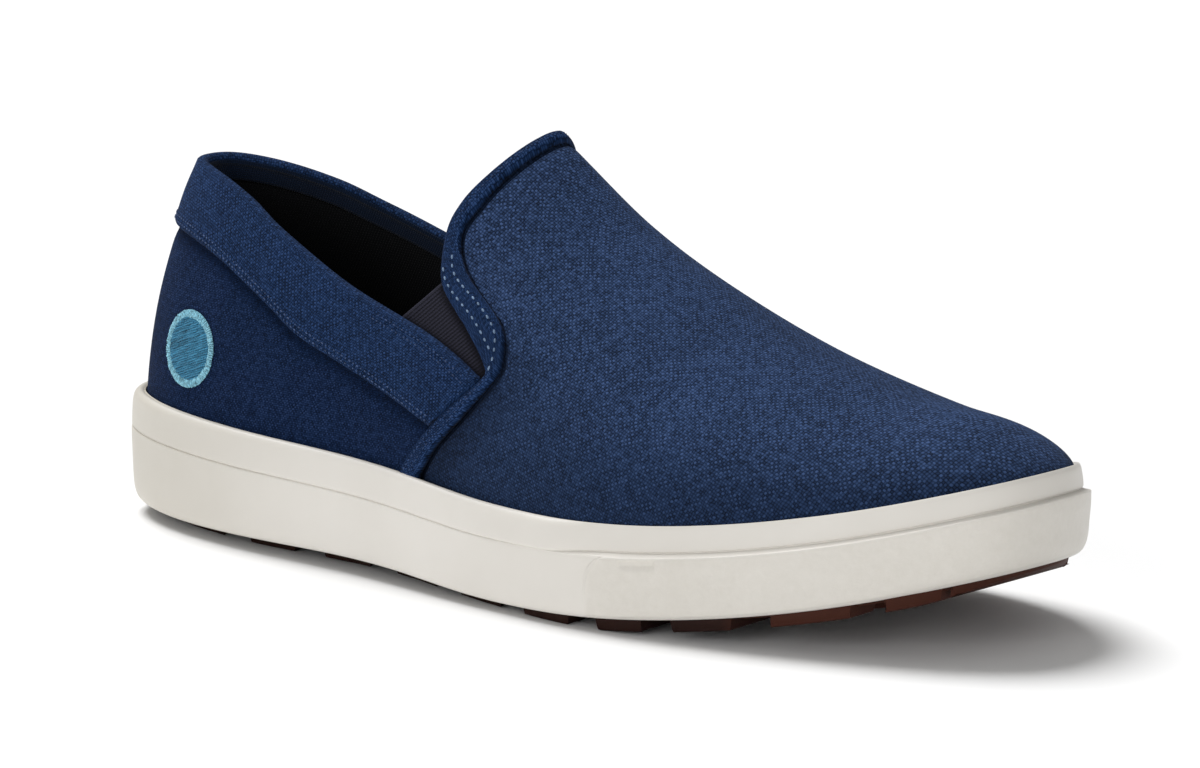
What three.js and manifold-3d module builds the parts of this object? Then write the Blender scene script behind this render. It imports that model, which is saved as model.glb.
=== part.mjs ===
// Slip-on sneaker for the right foot: a moulded cup sole with a gum tread, a canvas
// upper, and elastic gores between its vamp and quarters. Millimetres. It is laid out
// from the heel (x = 0) to the toe (x = length), with the outer side towards -Y and
// the floor at z = 0, and the whole shoe is then centred over its origin.

import * as THREE from "three";
import Module from "manifold-3d";
import { mergeVertices } from "three/addons/utils/BufferGeometryUtils.js";

const wasm = await Module();
wasm.setup();

// Driving sizes
const length = 300;
const ballBreadth = 107;
const heelHeight = 98.5;
const instepHeight = 117;
const toeBoxHeight = 16;
const wallHeight = 31.1;
const toeSpring = 20;
const lugHeight = 3.4;
const lipWidth = 3.9;
const bumperProud = 1.9;
const stepDepth = 0.7;
const pocketDepth = 2.2;
const pocketRim = 5.5;
const heelLugInset = 8.0;
const toeLugInset = 2.6;
const tipLugInset = 6.5;
const grooveWidth = 4.2;
const upperWall = 2.0;
const bandThickness = 1.3;
const borderThickness = 1.1;
const seamLap = 2;
const goreThickness = 1.2;
const goreSunk = 0.7;
const insoleThickness = 4.5;
const insoleRim = 2.0;
const insoleMargin = 0.5;
const clearance = 0.3;

// Sole outline: half breadths to the outer and inner side, as shares of ballBreadth
const soleOutline = [
  { at: 0.06, outer: 0.250, inner: 0.229 },
  { at: 0.18, outer: 0.348, inner: 0.341 },
  { at: 0.35, outer: 0.394, inner: 0.336 },
  { at: 0.52, outer: 0.479, inner: 0.388 },
  { at: 0.64, outer: 0.510, inner: 0.458 },
  { at: 0.76, outer: 0.466, inner: 0.481 },
  { at: 0.87, outer: 0.377, inner: 0.434 },
  { at: 0.95, outer: 0.270, inner: 0.309 },
];
const heelRadius = 0.316;
const toeRadius = 0.441;
const toeSwing = 0.053;

// Sole heights: the wall's lower edge as shares of lugHeight and toeSpring, then the
// parting line, the lip and the cup's floor above that edge as shares of wallHeight
const soleHeights = [
  { at: 0.00, lug: 0.865, spring: 0.000, step: 0.680, lip: 1.000, floor: 0.400 },
  { at: 0.20, lug: 0.994, spring: 0.000, step: 0.609, lip: 0.919, floor: 0.375 },
  { at: 0.40, lug: 1.135, spring: 0.000, step: 0.551, lip: 0.846, floor: 0.350 },
  { at: 0.55, lug: 0.685, spring: 0.000, step: 0.537, lip: 0.808, floor: 0.330 },
  { at: 0.70, lug: 0.865, spring: 0.075, step: 0.523, lip: 0.771, floor: 0.310 },
  { at: 0.85, lug: 1.000, spring: 0.394, step: 0.518, lip: 0.763, floor: 0.300 },
  { at: 1.00, lug: 0.880, spring: 1.000, step: 0.513, lip: 0.755, floor: 0.300 },
];

// Crest line over the foot, above the lip: shares of the instep's rise and of
// toeBoxHeight. Behind the throat it only carries the sides of the quarters.
const crest = [
  { at: 0.00, instep: 1.324, toe: 0.000 },
  { at: 0.12, instep: 1.195, toe: 0.000 },
  { at: 0.25, instep: 1.125, toe: 0.000 },
  { at: 0.40, instep: 1.100, toe: 0.000 },
  { at: 0.46, instep: 0.985, toe: 0.000 },
  { at: 0.55, instep: 0.770, toe: 0.000 },
  { at: 0.65, instep: 0.500, toe: 0.440 },
  { at: 0.75, instep: 0.300, toe: 0.630 },
  { at: 0.85, instep: 0.100, toe: 0.925 },
  { at: 0.93, instep: 0.015, toe: 0.893 },
  { at: 1.00, instep: 0.000, toe: 0.270 },
];
const throatAt = 0.465;
const crestPivot = 0.527;
const crestReach = 0.74;
const crestBow = 0.019;

// Cross sections of the upper: how far it tucks in towards the crest, how squarely it
// turns up, and how far its side swells, as a share of ballBreadth
const sections = [
  { at: 0.0, tuck: 0.600, turnUp: 0.98, swell: -0.025 },
  { at: 0.2, tuck: 0.630, turnUp: 1.01, swell: 0.006 },
  { at: 0.4, tuck: 0.460, turnUp: 0.97, swell: 0.020 },
  { at: 0.6, tuck: 0.243, turnUp: 1.06, swell: 0.024 },
  { at: 0.8, tuck: 0.146, turnUp: 1.03, swell: 0.021 },
  { at: 1.0, tuck: 0.038, turnUp: 1.03, swell: 0.009 },
];

// Lines seen from the side: at along the length, heights as shares of heelHeight and
// instepHeight
const collarEdge = [
  { at: -0.050, heel: 1.00, instep: 0.000 },
  { at: 0.030, heel: 1.00, instep: 0.000 },
  { at: 0.105, heel: 0.80, instep: 0.150 },
  { at: 0.166, heel: 0.62, instep: 0.261 },
  { at: 0.218, heel: 0.48, instep: 0.324 },
  { at: 0.315, heel: 0.20, instep: 0.472 },
  { at: 0.393, heel: 0.00, instep: 0.590 },
];
const bandLowerEdge = [
  { at: -0.050, heel: 0.82, instep: 0.000 },
  { at: 0.068, heel: 0.80, instep: 0.000 },
  { at: 0.142, heel: 0.70, instep: 0.049 },
  { at: 0.219, heel: 0.50, instep: 0.143 },
  { at: 0.270, heel: 0.33, instep: 0.226 },
  { at: 0.331, heel: 0.15, instep: 0.334 },
  { at: 0.397, heel: 0.03, instep: 0.388 },
  { at: 0.470, heel: 0.00, instep: 0.355 },
];
const quarterFrontEdge = [
  { at: 0.393, heel: 0.00, instep: 0.590 },
  { at: 0.424, heel: 0.00, instep: 0.570 },
  { at: 0.452, heel: 0.00, instep: 0.547 },
  { at: 0.476, heel: 0.00, instep: 0.523 },
  { at: 0.506, heel: 0.00, instep: 0.487 },
];
const goreTopEdge = [
  { at: 0.393, heel: 0.00, instep: 0.590 },
  { at: 0.406, heel: 0.00, instep: 0.620 },
  { at: 0.421, heel: 0.00, instep: 0.654 },
  { at: 0.434, heel: 0.00, instep: 0.684 },
];

// The border over the throat and down the side seam: its free edge and its vamp edge,
// from above the crest to the lip
const border = [
  { freeAt: 0.479, freeUp: 1.028, vampAt: 0.4925, vampUp: 1.012 },
  { freeAt: 0.464, freeUp: 0.992, vampAt: 0.4760, vampUp: 0.974 },
  { freeAt: 0.441, freeUp: 0.909, vampAt: 0.4570, vampUp: 0.899 },
  { freeAt: 0.426, freeUp: 0.842, vampAt: 0.4460, vampUp: 0.840 },
  { freeAt: 0.422, freeUp: 0.774, vampAt: 0.4390, vampUp: 0.776 },
  { freeAt: 0.436, freeUp: 0.672, vampAt: 0.4590, vampUp: 0.699 },
  { freeAt: 0.478, freeUp: 0.585, vampAt: 0.5090, vampUp: 0.607 },
  { freeAt: 0.507, freeUp: 0.517, vampAt: 0.5230, vampUp: 0.533 },
  { freeAt: 0.506, freeUp: 0.487, vampAt: 0.5170, vampUp: 0.488 },
  { freeAt: 0.474, freeUp: 0.416, vampAt: 0.4880, vampUp: 0.400 },
  { freeAt: 0.444, freeUp: 0.344, vampAt: 0.4590, vampUp: 0.325 },
];
const seamFoot = { freeAt: 0.415, vampAt: 0.4385 };
const notchRow = 8;

// Tread rows along the length
const treadRows = [
  { from: -0.020, to: 0.065 },
  { from: 0.090, to: 0.155 },
  { from: 0.190, to: 0.250 },
  { from: 0.285, to: 0.345 },
  { from: 0.378, to: 0.436 },
  { from: 0.468, to: 0.526 },
  { from: 0.556, to: 0.612 },
  { from: 0.640, to: 0.686 },
  { from: 0.713, to: 0.770 },
  { from: 0.803, to: 0.871 },
  { from: 0.897, to: 0.938 },
  { from: 0.943, to: 1.020 },
];
const treadGroove = { from: 0.165, to: 0.888, offset: 0.17 };
const treadRowSlant = 0.10;
const lugsMoveOutFrom = 0.40;
const lugsMoveOutTo = 0.64;
const lugsMoveInFrom = 0.92;

// Facets
const columnsPerSide = 38;
const rises = [0, 0.06, 0.13, 0.21, 0.3, 0.4, 0.5, 0.6, 0.7, 0.8, 0.9, 1];
const edgeSteps = 3;
const columns = 2 * columnsPerSide;

// A smooth curve through a table's column, with each slope weighted by its two spans
function curveThrough(places, values, endSlopes) {
  const last = places.length - 1;
  const span = (i) => places[i + 1] - places[i];
  const rate = (i) => (values[i + 1] - values[i]) / span(i);
  const slopes = values.map((_, i) => {
    if (i === 0 || i === last) return 0;
    return (rate(i - 1) * span(i) + rate(i) * span(i - 1)) / (span(i) + span(i - 1));
  });
  slopes[0] = endSlopes ? endSlopes[0] : 1.5 * rate(0) - 0.5 * slopes[1];
  slopes[last] = endSlopes ? endSlopes[1] : 1.5 * rate(last - 1) - 0.5 * slopes[last - 1];
  return (place) => {
    const p = Math.min(Math.max(place, places[0]), places[last]);
    let i = 0;
    while (i < last - 1 && p >= places[i + 1]) i += 1;
    const t = (p - places[i]) / span(i);
    const s = 1 - t;
    return values[i] * (1 + 2 * t) * s * s + values[i + 1] * t * t * (3 - 2 * t)
      + span(i) * (slopes[i] * t * s * s - slopes[i + 1] * t * t * s);
  };
}

const along = (rows, value) => curveThrough(rows.map((row) => row.at), rows.map(value));

// Plan outline. turn runs from the heel along the outer side to the toe (pi) and back
// along the inner side.
const outlineAngles = soleOutline.map((row) => Math.acos(1 - 2 * row.at));

function sideBreadth(side) {
  const bulges = soleOutline.map((row, i) => ballBreadth * row[side] / Math.sin(outlineAngles[i]));
  const heelEnd = Math.sqrt(heelRadius * ballBreadth * length / 2);
  const toeEnd = Math.sqrt(toeRadius * ballBreadth * length / 2);
  return curveThrough([0, ...outlineAngles, Math.PI], [heelEnd, ...bulges, toeEnd], [0, 0]);
}

const outerBreadth = sideBreadth("outer");
const innerBreadth = sideBreadth("inner");

function outlinePoint(turn) {
  const angle = (turn + 2 * Math.PI) % (2 * Math.PI);
  const onOuter = angle <= Math.PI;
  const swept = onOuter ? angle : 2 * Math.PI - angle;
  const share = (1 - Math.cos(swept)) / 2;
  const breadth = onOuter ? -outerBreadth(swept) : innerBreadth(swept);
  const swing = toeSwing * ballBreadth * share ** 4;
  return { x: length * share, y: breadth * Math.sin(swept) + swing };
}

function outwards(turn) {
  const step = 1e-3;
  const before = outlinePoint(turn - step);
  const after = outlinePoint(turn + step);
  const dx = after.x - before.x;
  const dy = after.y - before.y;
  const run = Math.hypot(dx, dy);
  return { x: dy / run, y: -dx / run };
}

function outline(turn, grow) {
  const point = outlinePoint(turn);
  const normal = outwards(turn);
  return { x: point.x + grow * normal.x, y: point.y + grow * normal.y };
}

// Heights of the sole at x
const lowerEdgeShape = along(soleHeights, (row) => row.lug * lugHeight + row.spring * toeSpring);
const stepShape = along(soleHeights, (row) => row.step * wallHeight);
const lipShape = along(soleHeights, (row) => row.lip * wallHeight);
const floorShape = along(soleHeights, (row) => row.floor * wallHeight);
const lowerEdge = (x) => lowerEdgeShape(x / length);
const parting = (x) => lowerEdge(x) + stepShape(x / length);
const lip = (x) => lowerEdge(x) + lipShape(x / length);
const cupFloor = (x) => lowerEdge(x) + floorShape(x / length);
const treadFace = (x) => Math.max(0, lowerEdge(x) - lugHeight);

// The upper's surface: rise runs from inside the lip (0) up to the crest line (1)
const instepRise = instepHeight - lip(throatAt * length);
const crestShape = along(crest, (row) => row.instep * instepRise + row.toe * toeBoxHeight);
const crestHeight = (x) => lip(x) + crestShape(x / length);
const tuckAt = along(sections, (row) => row.tuck);
const turnUpAt = along(sections, (row) => row.turnUp);
const swellAt = along(sections, (row) => row.swell * ballBreadth);
const lipCover = 3;
const swellTop = 1.15;

function upperPoint(turn, rise, grow) {
  const angle = rise * Math.PI / 2;
  const foot = outline(turn, -lipWidth - clearance + grow);
  const share = (1 - Math.cos(turn)) / 2;
  const crestX = length * (crestPivot + (share - crestPivot) * crestReach);
  const swing = 0.8 * toeSwing * share ** 4 + crestBow * Math.sin(Math.PI * share);
  const crestY = ballBreadth * swing;
  const turnedIn = 1 - Math.cos(angle) * (1 - tuckAt(share) * Math.sin(angle) ** 2);
  const bulge = swellAt(share) * Math.sin(Math.min(rise * swellTop, 1) * Math.PI);
  const normal = outwards(turn);
  const x = foot.x + (crestX - foot.x) * turnedIn + bulge * normal.x;
  const y = foot.y + (crestY - foot.y) * turnedIn + bulge * normal.y;
  const start = lip(foot.x) - lipCover;
  const height = (crestHeight(x) + grow - start) * Math.sin(angle) ** turnUpAt(share);
  return new THREE.Vector3(x, y, start + height);
}

// Solids and meshes
function toSolid(geometry) {
  geometry.deleteAttribute("normal");
  geometry.deleteAttribute("uv");
  const merged = mergeVertices(geometry, 1e-4);
  return new wasm.Manifold(new wasm.Mesh({
    numProp: 3,
    vertProperties: new Float32Array(merged.attributes.position.array),
    triVerts: new Uint32Array(merged.index.array),
  }));
}

function toGeometry(solid) {
  const mesh = solid.getMesh();
  const geometry = new THREE.BufferGeometry();
  geometry.setAttribute("position", new THREE.BufferAttribute(mesh.vertProperties, 3));
  geometry.setIndex(new THREE.BufferAttribute(mesh.triVerts, 1));
  return geometry;
}

// Joins rings of points into one skin, closed across its first ring, and across its
// last unless the two sides of that ring already meet
function loft(rings, closedTop) {
  const positions = rings.flatMap((ring) => ring.flatMap((p) => [p.x, p.y, p.z]));
  const index = [];
  const quad = (a, b, c, d) => index.push(a, b, c, a, c, d);
  for (let ring = 0; ring < rings.length - 1; ring += 1) {
    for (let i = 0; i < columns; i += 1) {
      const next = (i + 1) % columns;
      const low = ring * columns;
      const high = low + columns;
      quad(low + i, low + next, high + next, high + i);
    }
  }
  const rung = (base, i) => [base + i, base + i + 1, base + columns - i - 1, base + (columns - i) % columns];
  for (let i = 0; i < columnsPerSide; i += 1) {
    const top = (rings.length - 1) * columns;
    const [a, b, c, d] = rung(0, i);
    if (i > 0) index.push(a, d, c);
    if (i < columnsPerSide - 1) index.push(a, c, b);
    if (closedTop) continue;
    const [e, f, g, h] = rung(top, i);
    if (i < columnsPerSide - 1) index.push(e, f, g);
    if (i > 0) index.push(e, g, h);
  }
  const geometry = new THREE.BufferGeometry();
  geometry.setAttribute("position", new THREE.Float32BufferAttribute(positions, 3));
  geometry.setIndex(index);
  return geometry;
}

const turns = Array.from({ length: columns }, (_, i) => i * 2 * Math.PI / columns);

function planRing(grow, height) {
  return turns.map((turn) => {
    const inset = typeof grow === "function" ? grow(turn) : grow;
    const p = outline(turn, inset);
    return new THREE.Vector3(p.x, p.y, height(p.x));
  });
}

// The whole closed form of the foot at one offset from the upper's outer face
function footForm(grow, footDrop) {
  const skirtGrow = -lipWidth - clearance + grow;
  const rings = [planRing(skirtGrow, (x) => cupFloor(x) + clearance - footDrop)];
  for (const rise of rises) {
    rings.push(turns.map((turn) => upperPoint(turn, rise, grow)));
  }
  return toSolid(loft(rings, true));
}

// A prism through the shoe from side to side, from an outline in x and z
function sidePrism(points) {
  const reach = ballBreadth;
  const shape = new THREE.Shape(points.map((p) => new THREE.Vector2(p.x, p.z)));
  const geometry = new THREE.ExtrudeGeometry(shape, { depth: 2 * reach, bevelEnabled: false });
  geometry.rotateX(Math.PI / 2);
  geometry.translate(0, reach, 0);
  return toSolid(geometry);
}

// A prism from below the floor to above the shoe, from an outline in x and y
function planPrism(points) {
  const shape = new THREE.Shape(points.map((p) => new THREE.Vector2(p.x, p.y)));
  const geometry = new THREE.ExtrudeGeometry(shape, { depth: 3 * instepHeight, bevelEnabled: false });
  geometry.translate(0, 0, -instepHeight);
  return toSolid(geometry);
}

function smoothLine(points) {
  const spline = new THREE.SplineCurve(points.map((p) => new THREE.Vector2(p.x, p.z)));
  return spline.getPoints(edgeSteps * (points.length - 1)).map((p) => ({ x: p.x, z: p.y }));
}

// Moves each side of an outline outwards by grow
function grownOutline(points, grow) {
  const area = points.reduce((sum, p, i) => {
    const q = points[(i + 1) % points.length];
    return sum + (p.x * q.z - q.x * p.z);
  }, 0);
  const hand = Math.sign(area);
  return points.map((p, i) => {
    const before = points[(i + points.length - 1) % points.length];
    const after = points[(i + 1) % points.length];
    const first = new THREE.Vector2(p.x - before.x, p.z - before.z).normalize();
    const second = new THREE.Vector2(after.x - p.x, after.z - p.z).normalize();
    const normal = new THREE.Vector2(first.y + second.y, -first.x - second.x).normalize();
    const widen = Math.max(0.5, normal.x * first.y - normal.y * first.x);
    return { x: p.x + hand * grow * normal.x / widen, z: p.z + hand * grow * normal.y / widen };
  });
}

const sidePoint = (row) => ({
  x: row.at * length,
  z: row.heel * heelHeight + row.instep * instepHeight,
});
const freePoint = (row) => ({ x: row.freeAt * length, z: row.freeUp * instepHeight });
const vampPoint = (row) => ({ x: row.vampAt * length, z: row.vampUp * instepHeight });
const collarLine = smoothLine(collarEdge.map(sidePoint));
const frontLine = smoothLine(quarterFrontEdge.map(sidePoint));
const bandLine = smoothLine(bandLowerEdge.map(sidePoint));
const goreTopLine = smoothLine(goreTopEdge.map(sidePoint));
const footAtLip = (at) => ({ x: at * length, z: lip(at * length) + clearance });
const freeLine = smoothLine([...border.map(freePoint), footAtLip(seamFoot.freeAt)]);
const vampLine = smoothLine([...border.map(vampPoint), footAtLip(seamFoot.vampAt)]);
const throatLine = freeLine.slice(0, notchRow * edgeSteps + 1);

// Pieces
function makeOutsole() {
  const plate = toSolid(loft([
    planRing(-pocketRim - clearance, (x) => lowerEdge(x) - lugHeight / 4),
    planRing(-pocketRim - clearance, (x) => lowerEdge(x) + pocketDepth - clearance),
  ]));
  const lugEdge = (turn) => {
    const share = (1 - Math.cos(turn)) / 2;
    const movedOut = THREE.MathUtils.smoothstep(share, lugsMoveOutFrom, lugsMoveOutTo);
    const movedIn = THREE.MathUtils.smoothstep(share, lugsMoveInFrom, 1);
    return -THREE.MathUtils.lerp(THREE.MathUtils.lerp(heelLugInset, toeLugInset, movedOut), tipLugInset, movedIn);
  };
  const lugs = toSolid(loft([
    planRing(lugEdge, treadFace),
    planRing(lugEdge, (x) => lowerEdge(x) - clearance),
  ]));
  const reach = ballBreadth;
  const slant = treadRowSlant * reach;
  const rows = treadRows.map(({ from, to }) => planPrism([
    { x: from * length + slant, y: -reach },
    { x: to * length + slant, y: -reach },
    { x: to * length, y: 0 },
    { x: to * length + slant, y: reach },
    { x: from * length + slant, y: reach },
    { x: from * length, y: 0 },
  ]));
  const grooves = [-1, 1].map((side) => {
    const middle = side * treadGroove.offset * ballBreadth;
    return planPrism([
      { x: treadGroove.from * length, y: middle - grooveWidth / 2 },
      { x: treadGroove.to * length, y: middle - grooveWidth / 2 },
      { x: treadGroove.to * length, y: middle + grooveWidth / 2 },
      { x: treadGroove.from * length, y: middle + grooveWidth / 2 },
    ]);
  });
  const cut = lugs.intersect(wasm.Manifold.union(rows)).subtract(wasm.Manifold.union(grooves));
  return toGeometry(plate.add(cut));
}

// How far the toe bumper has risen, 0 along the sides and 1 round the toe
const bumperFrom = 0.60;
const bumperTo = 0.67;

function bumper(turn) {
  const share = (1 - Math.cos(turn)) / 2;
  return THREE.MathUtils.smoothstep(share, bumperFrom, bumperTo);
}

// Section of the cup from its pocket underneath, out round the side wall, over the lip
// and down to its floor. Each point is set back from the outline by shares of lipWidth,
// stepDepth and bumperProud, and stands above its level by shares of lipWidth and
// stepDepth.
const cupSection = [
  { level: lowerEdge, lip: 0.50, step: 0.0, bump: 0.00, lipUp: 0.00, stepUp: 0.0 },
  { level: lowerEdge, lip: 0.22, step: 0.0, bump: 0.00, lipUp: 0.22, stepUp: 0.0 },
  { level: lowerEdge, lip: 0.08, step: 0.0, bump: 0.00, lipUp: 0.80, stepUp: 0.0 },
  { level: parting, lip: 0.00, step: 0.0, bump: 0.00, lipUp: 0.00, stepUp: -1.4 },
  { level: parting, lip: 0.00, step: 0.3, bump: 0.00, lipUp: 0.00, stepUp: -0.6 },
  { level: parting, lip: 0.00, step: 1.0, bump: 1.00, lipUp: 0.00, stepUp: 0.0 },
  { level: parting, lip: 0.06, step: 0.0, bump: 1.00, lipUp: 0.00, stepUp: 1.2 },
  { level: lip, lip: 0.10, step: 0.0, bump: 1.00, lipUp: -0.75, stepUp: 0.0 },
  { level: lip, lip: 0.22, step: 0.0, bump: 0.95, lipUp: -0.30, stepUp: 0.0 },
  { level: lip, lip: 0.42, step: 0.0, bump: 0.75, lipUp: -0.07, stepUp: 0.0 },
  { level: lip, lip: 0.66, step: 0.0, bump: 0.40, lipUp: 0.00, stepUp: 0.0 },
  { level: lip, lip: 0.88, step: 0.0, bump: 0.12, lipUp: -0.08, stepUp: 0.0 },
  { level: lip, lip: 1.00, step: 0.0, bump: 0.00, lipUp: -0.30, stepUp: 0.0 },
  { level: cupFloor, lip: 1.00, step: 0.0, bump: 0.00, lipUp: 0.00, stepUp: 0.0 },
];

function makeCupsole() {
  const rings = [
    planRing(-pocketRim, (x) => lowerEdge(x) + pocketDepth),
    planRing(-pocketRim, lowerEdge),
  ];
  for (const row of cupSection) {
    const setBack = (turn) => row.lip * lipWidth + row.step * stepDepth
      + row.bump * bumperProud * bumper(turn);
    const height = (x) => row.level(x) + row.lipUp * lipWidth + row.stepUp * stepDepth;
    rings.push(planRing((turn) => -setBack(turn), height));
  }
  return loft(rings);
}

function makeInsole() {
  const edge = -lipWidth - clearance - upperWall - insoleMargin;
  const bottom = (x) => cupFloor(x) + clearance;
  return loft([
    planRing(edge, bottom),
    planRing(edge, (x) => bottom(x) + insoleThickness + insoleRim / 2),
    planRing(edge - insoleRim / 2, (x) => bottom(x) + insoleThickness + insoleRim),
    planRing(edge - 2 * insoleRim, (x) => bottom(x) + insoleThickness + insoleRim / 2),
    planRing(edge - 5 * insoleRim, (x) => bottom(x) + insoleThickness),
  ]);
}

const openTop = 2 * Math.max(heelHeight, instepHeight);

function makeUpper() {
  const throatTop = throatLine[0];
  const opening = sidePrism([
    { x: collarLine[0].x, z: openTop },
    ...collarLine,
    ...frontLine.slice(1),
    ...throatLine.slice(0, -1).reverse(),
    { x: throatTop.x, z: openTop },
  ]);
  const wall = footForm(0, 0).subtract(footForm(-upperWall, wallHeight));
  return toGeometry(wall.subtract(opening));
}

const borderOutline = [...freeLine, ...vampLine.slice().reverse()];

function overlay(thickness) {
  return footForm(clearance + thickness, 0).subtract(footForm(clearance, wallHeight));
}

function makeBorder() {
  return toGeometry(overlay(borderThickness).intersect(sidePrism(borderOutline)));
}

function makeBand() {
  const heelBack = collarLine[0].x;
  const underSeam = freeLine.slice(throatLine.length).map((p) => ({ x: p.x + seamLap, z: p.z }));
  const quarter = sidePrism([
    ...collarLine,
    ...frontLine.slice(1),
    ...underSeam,
    { x: underSeam[underSeam.length - 1].x, z: 0 },
    { x: heelBack, z: 0 },
  ]);
  const bandEnd = bandLine[bandLine.length - 1];
  const aboveBandLine = sidePrism([
    ...bandLine,
    { x: 2 * length, z: bandEnd.z },
    { x: 2 * length, z: openTop },
    { x: heelBack, z: openTop },
  ]);
  const keptClear = sidePrism(grownOutline(borderOutline, clearance));
  const band = overlay(bandThickness).intersect(quarter).intersect(aboveBandLine);
  return toGeometry(band.subtract(keptClear));
}

function makeGore(side) {
  const topJoint = throatLine.findIndex((p) => p.z <= goreTopLine[goreTopLine.length - 1].z);
  const notch = [...goreTopLine, ...throatLine.slice(topJoint), ...frontLine.slice(1, -1).reverse()];
  const outer = footForm(-goreSunk, 0);
  const inner = footForm(-goreSunk - goreThickness, wallHeight);
  const half = new THREE.BoxGeometry(2 * length, ballBreadth, 2 * openTop);
  half.translate(length / 2, side * ballBreadth / 2, 0);
  const both = outer.subtract(inner).intersect(sidePrism(grownOutline(notch, -clearance)));
  return toGeometry(both.intersect(toSolid(half)));
}

// Materials
const finish = (color, roughness) => new THREE.MeshStandardMaterial({ color, roughness, metalness: 0 });
const gum = finish(0x8a5238, 0.65);
const whiteRubber = finish(0xe6e3dc, 0.5);
const canvas = finish(0x34496b, 0.9);
const darkCanvas = finish(0x2c3f60, 0.9);
const elastic = finish(0x2a2c33, 0.85);
const lining = finish(0x1b1f2b, 0.95);

const shoe = new THREE.Group();

function addPiece(name, geometry, material) {
  const mesh = new THREE.Mesh(geometry, material);
  mesh.name = name;
  shoe.add(mesh);
  return mesh;
}

addPiece("outsole", makeOutsole(), gum);
const cup = addPiece("cupsole", makeCupsole(), whiteRubber);
addPiece("insole", makeInsole(), lining);
addPiece("upper", makeUpper(), canvas);
addPiece("collar_band", makeBand(), darkCanvas);
addPiece("throat_border", makeBorder(), darkCanvas);
addPiece("gore_lateral", makeGore(-1), elastic);
addPiece("gore_medial", makeGore(1), elastic);

cup.geometry.computeBoundingBox();
const middle = cup.geometry.boundingBox.getCenter(new THREE.Vector3());
shoe.position.set(-middle.x, -middle.y, 0);

export default shoe;
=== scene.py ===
"""Slip-on sneaker for the right foot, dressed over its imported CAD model.

Sizes are in millimetres, laid out from the heel (x = 0) to the toe (x = LENGTH), with
the outer side towards -Y and the floor at z = 0. Each piece is moved over the row
frame's origin and turned to metres when its mesh is made.
"""
import math

import bmesh
import bpy
import numpy as np
from bpy.props import FloatProperty, FloatVectorProperty, IntProperty, PointerProperty
from mathutils import Matrix, Vector


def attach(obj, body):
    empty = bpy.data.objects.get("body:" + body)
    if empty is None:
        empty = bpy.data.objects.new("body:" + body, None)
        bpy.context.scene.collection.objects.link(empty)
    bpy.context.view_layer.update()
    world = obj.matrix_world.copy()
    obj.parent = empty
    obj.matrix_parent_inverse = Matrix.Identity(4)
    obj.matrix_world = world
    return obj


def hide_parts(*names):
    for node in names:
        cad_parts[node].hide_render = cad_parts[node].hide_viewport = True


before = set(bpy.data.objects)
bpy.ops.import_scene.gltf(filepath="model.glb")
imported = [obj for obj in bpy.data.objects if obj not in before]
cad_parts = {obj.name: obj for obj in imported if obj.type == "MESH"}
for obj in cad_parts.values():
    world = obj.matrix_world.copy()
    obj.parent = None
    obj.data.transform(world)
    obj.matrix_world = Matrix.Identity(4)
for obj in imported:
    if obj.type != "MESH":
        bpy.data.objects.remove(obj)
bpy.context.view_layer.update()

bl_info = {
    "name": "Slip-on sneaker",
    "version": (1, 0, 0),
    "blender": (4, 5, 0),
    "location": "View3D > Sidebar > Sneaker",
    "description": "Canvas slip-on sneaker with elastic gores on a moulded cup sole",
    "category": "Object",
}

# Driving sizes, as in the CAD model
LENGTH = 300.0
BALL = 107.0
HEEL_HEIGHT = 98.5
INSTEP_HEIGHT = 117.0
TOE_BOX = 16.0
WALL_HEIGHT = 31.1
TOE_SPRING = 20.0
LUG_HEIGHT = 3.4
LIP_WIDTH = 3.9
BUMPER_PROUD = 1.9
POCKET_DEPTH = 2.2
POCKET_RIM = 5.5
HEEL_LUG_INSET = 8.0
TOE_LUG_INSET = 2.6
TIP_LUG_INSET = 6.5
GROOVE_WIDTH = 4.2
UPPER_WALL = 2.0
BAND_THICKNESS = 1.3
BORDER_THICKNESS = 1.1
INSOLE_THICKNESS = 4.5
CLEARANCE = 0.3
LIP_COVER = 3.0
ORIGIN = (LENGTH / 2, -0.14, 0.0)

# Layers of the upper, as offsets from its outer face
PANEL_INNER = -0.8
GORE_FACE = -0.95
GORE_INNER = -1.5
LINING_FACE = -1.6
LINING_INNER = -2.0

# at, outer half breadth, inner half breadth: shares of LENGTH and BALL
SOLE_OUTLINE = (
    (0.06, 0.250, 0.229), (0.18, 0.348, 0.341), (0.35, 0.394, 0.336), (0.52, 0.479, 0.388),
    (0.64, 0.510, 0.458), (0.76, 0.466, 0.481), (0.87, 0.377, 0.434), (0.95, 0.270, 0.309),
)
HEEL_RADIUS = 0.316
TOE_RADIUS = 0.441
TOE_SWING = 0.053

# at, lower edge by LUG_HEIGHT and TOE_SPRING, then parting, lip and floor by WALL_HEIGHT
SOLE_HEIGHTS = (
    (0.00, 0.865, 0.000, 0.680, 1.000, 0.400),
    (0.20, 0.994, 0.000, 0.609, 0.919, 0.375),
    (0.40, 1.135, 0.000, 0.551, 0.846, 0.350),
    (0.55, 0.685, 0.000, 0.537, 0.808, 0.330),
    (0.70, 0.865, 0.075, 0.523, 0.771, 0.310),
    (0.85, 1.000, 0.394, 0.518, 0.763, 0.300),
    (1.00, 0.880, 1.000, 0.513, 0.755, 0.300),
)

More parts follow.
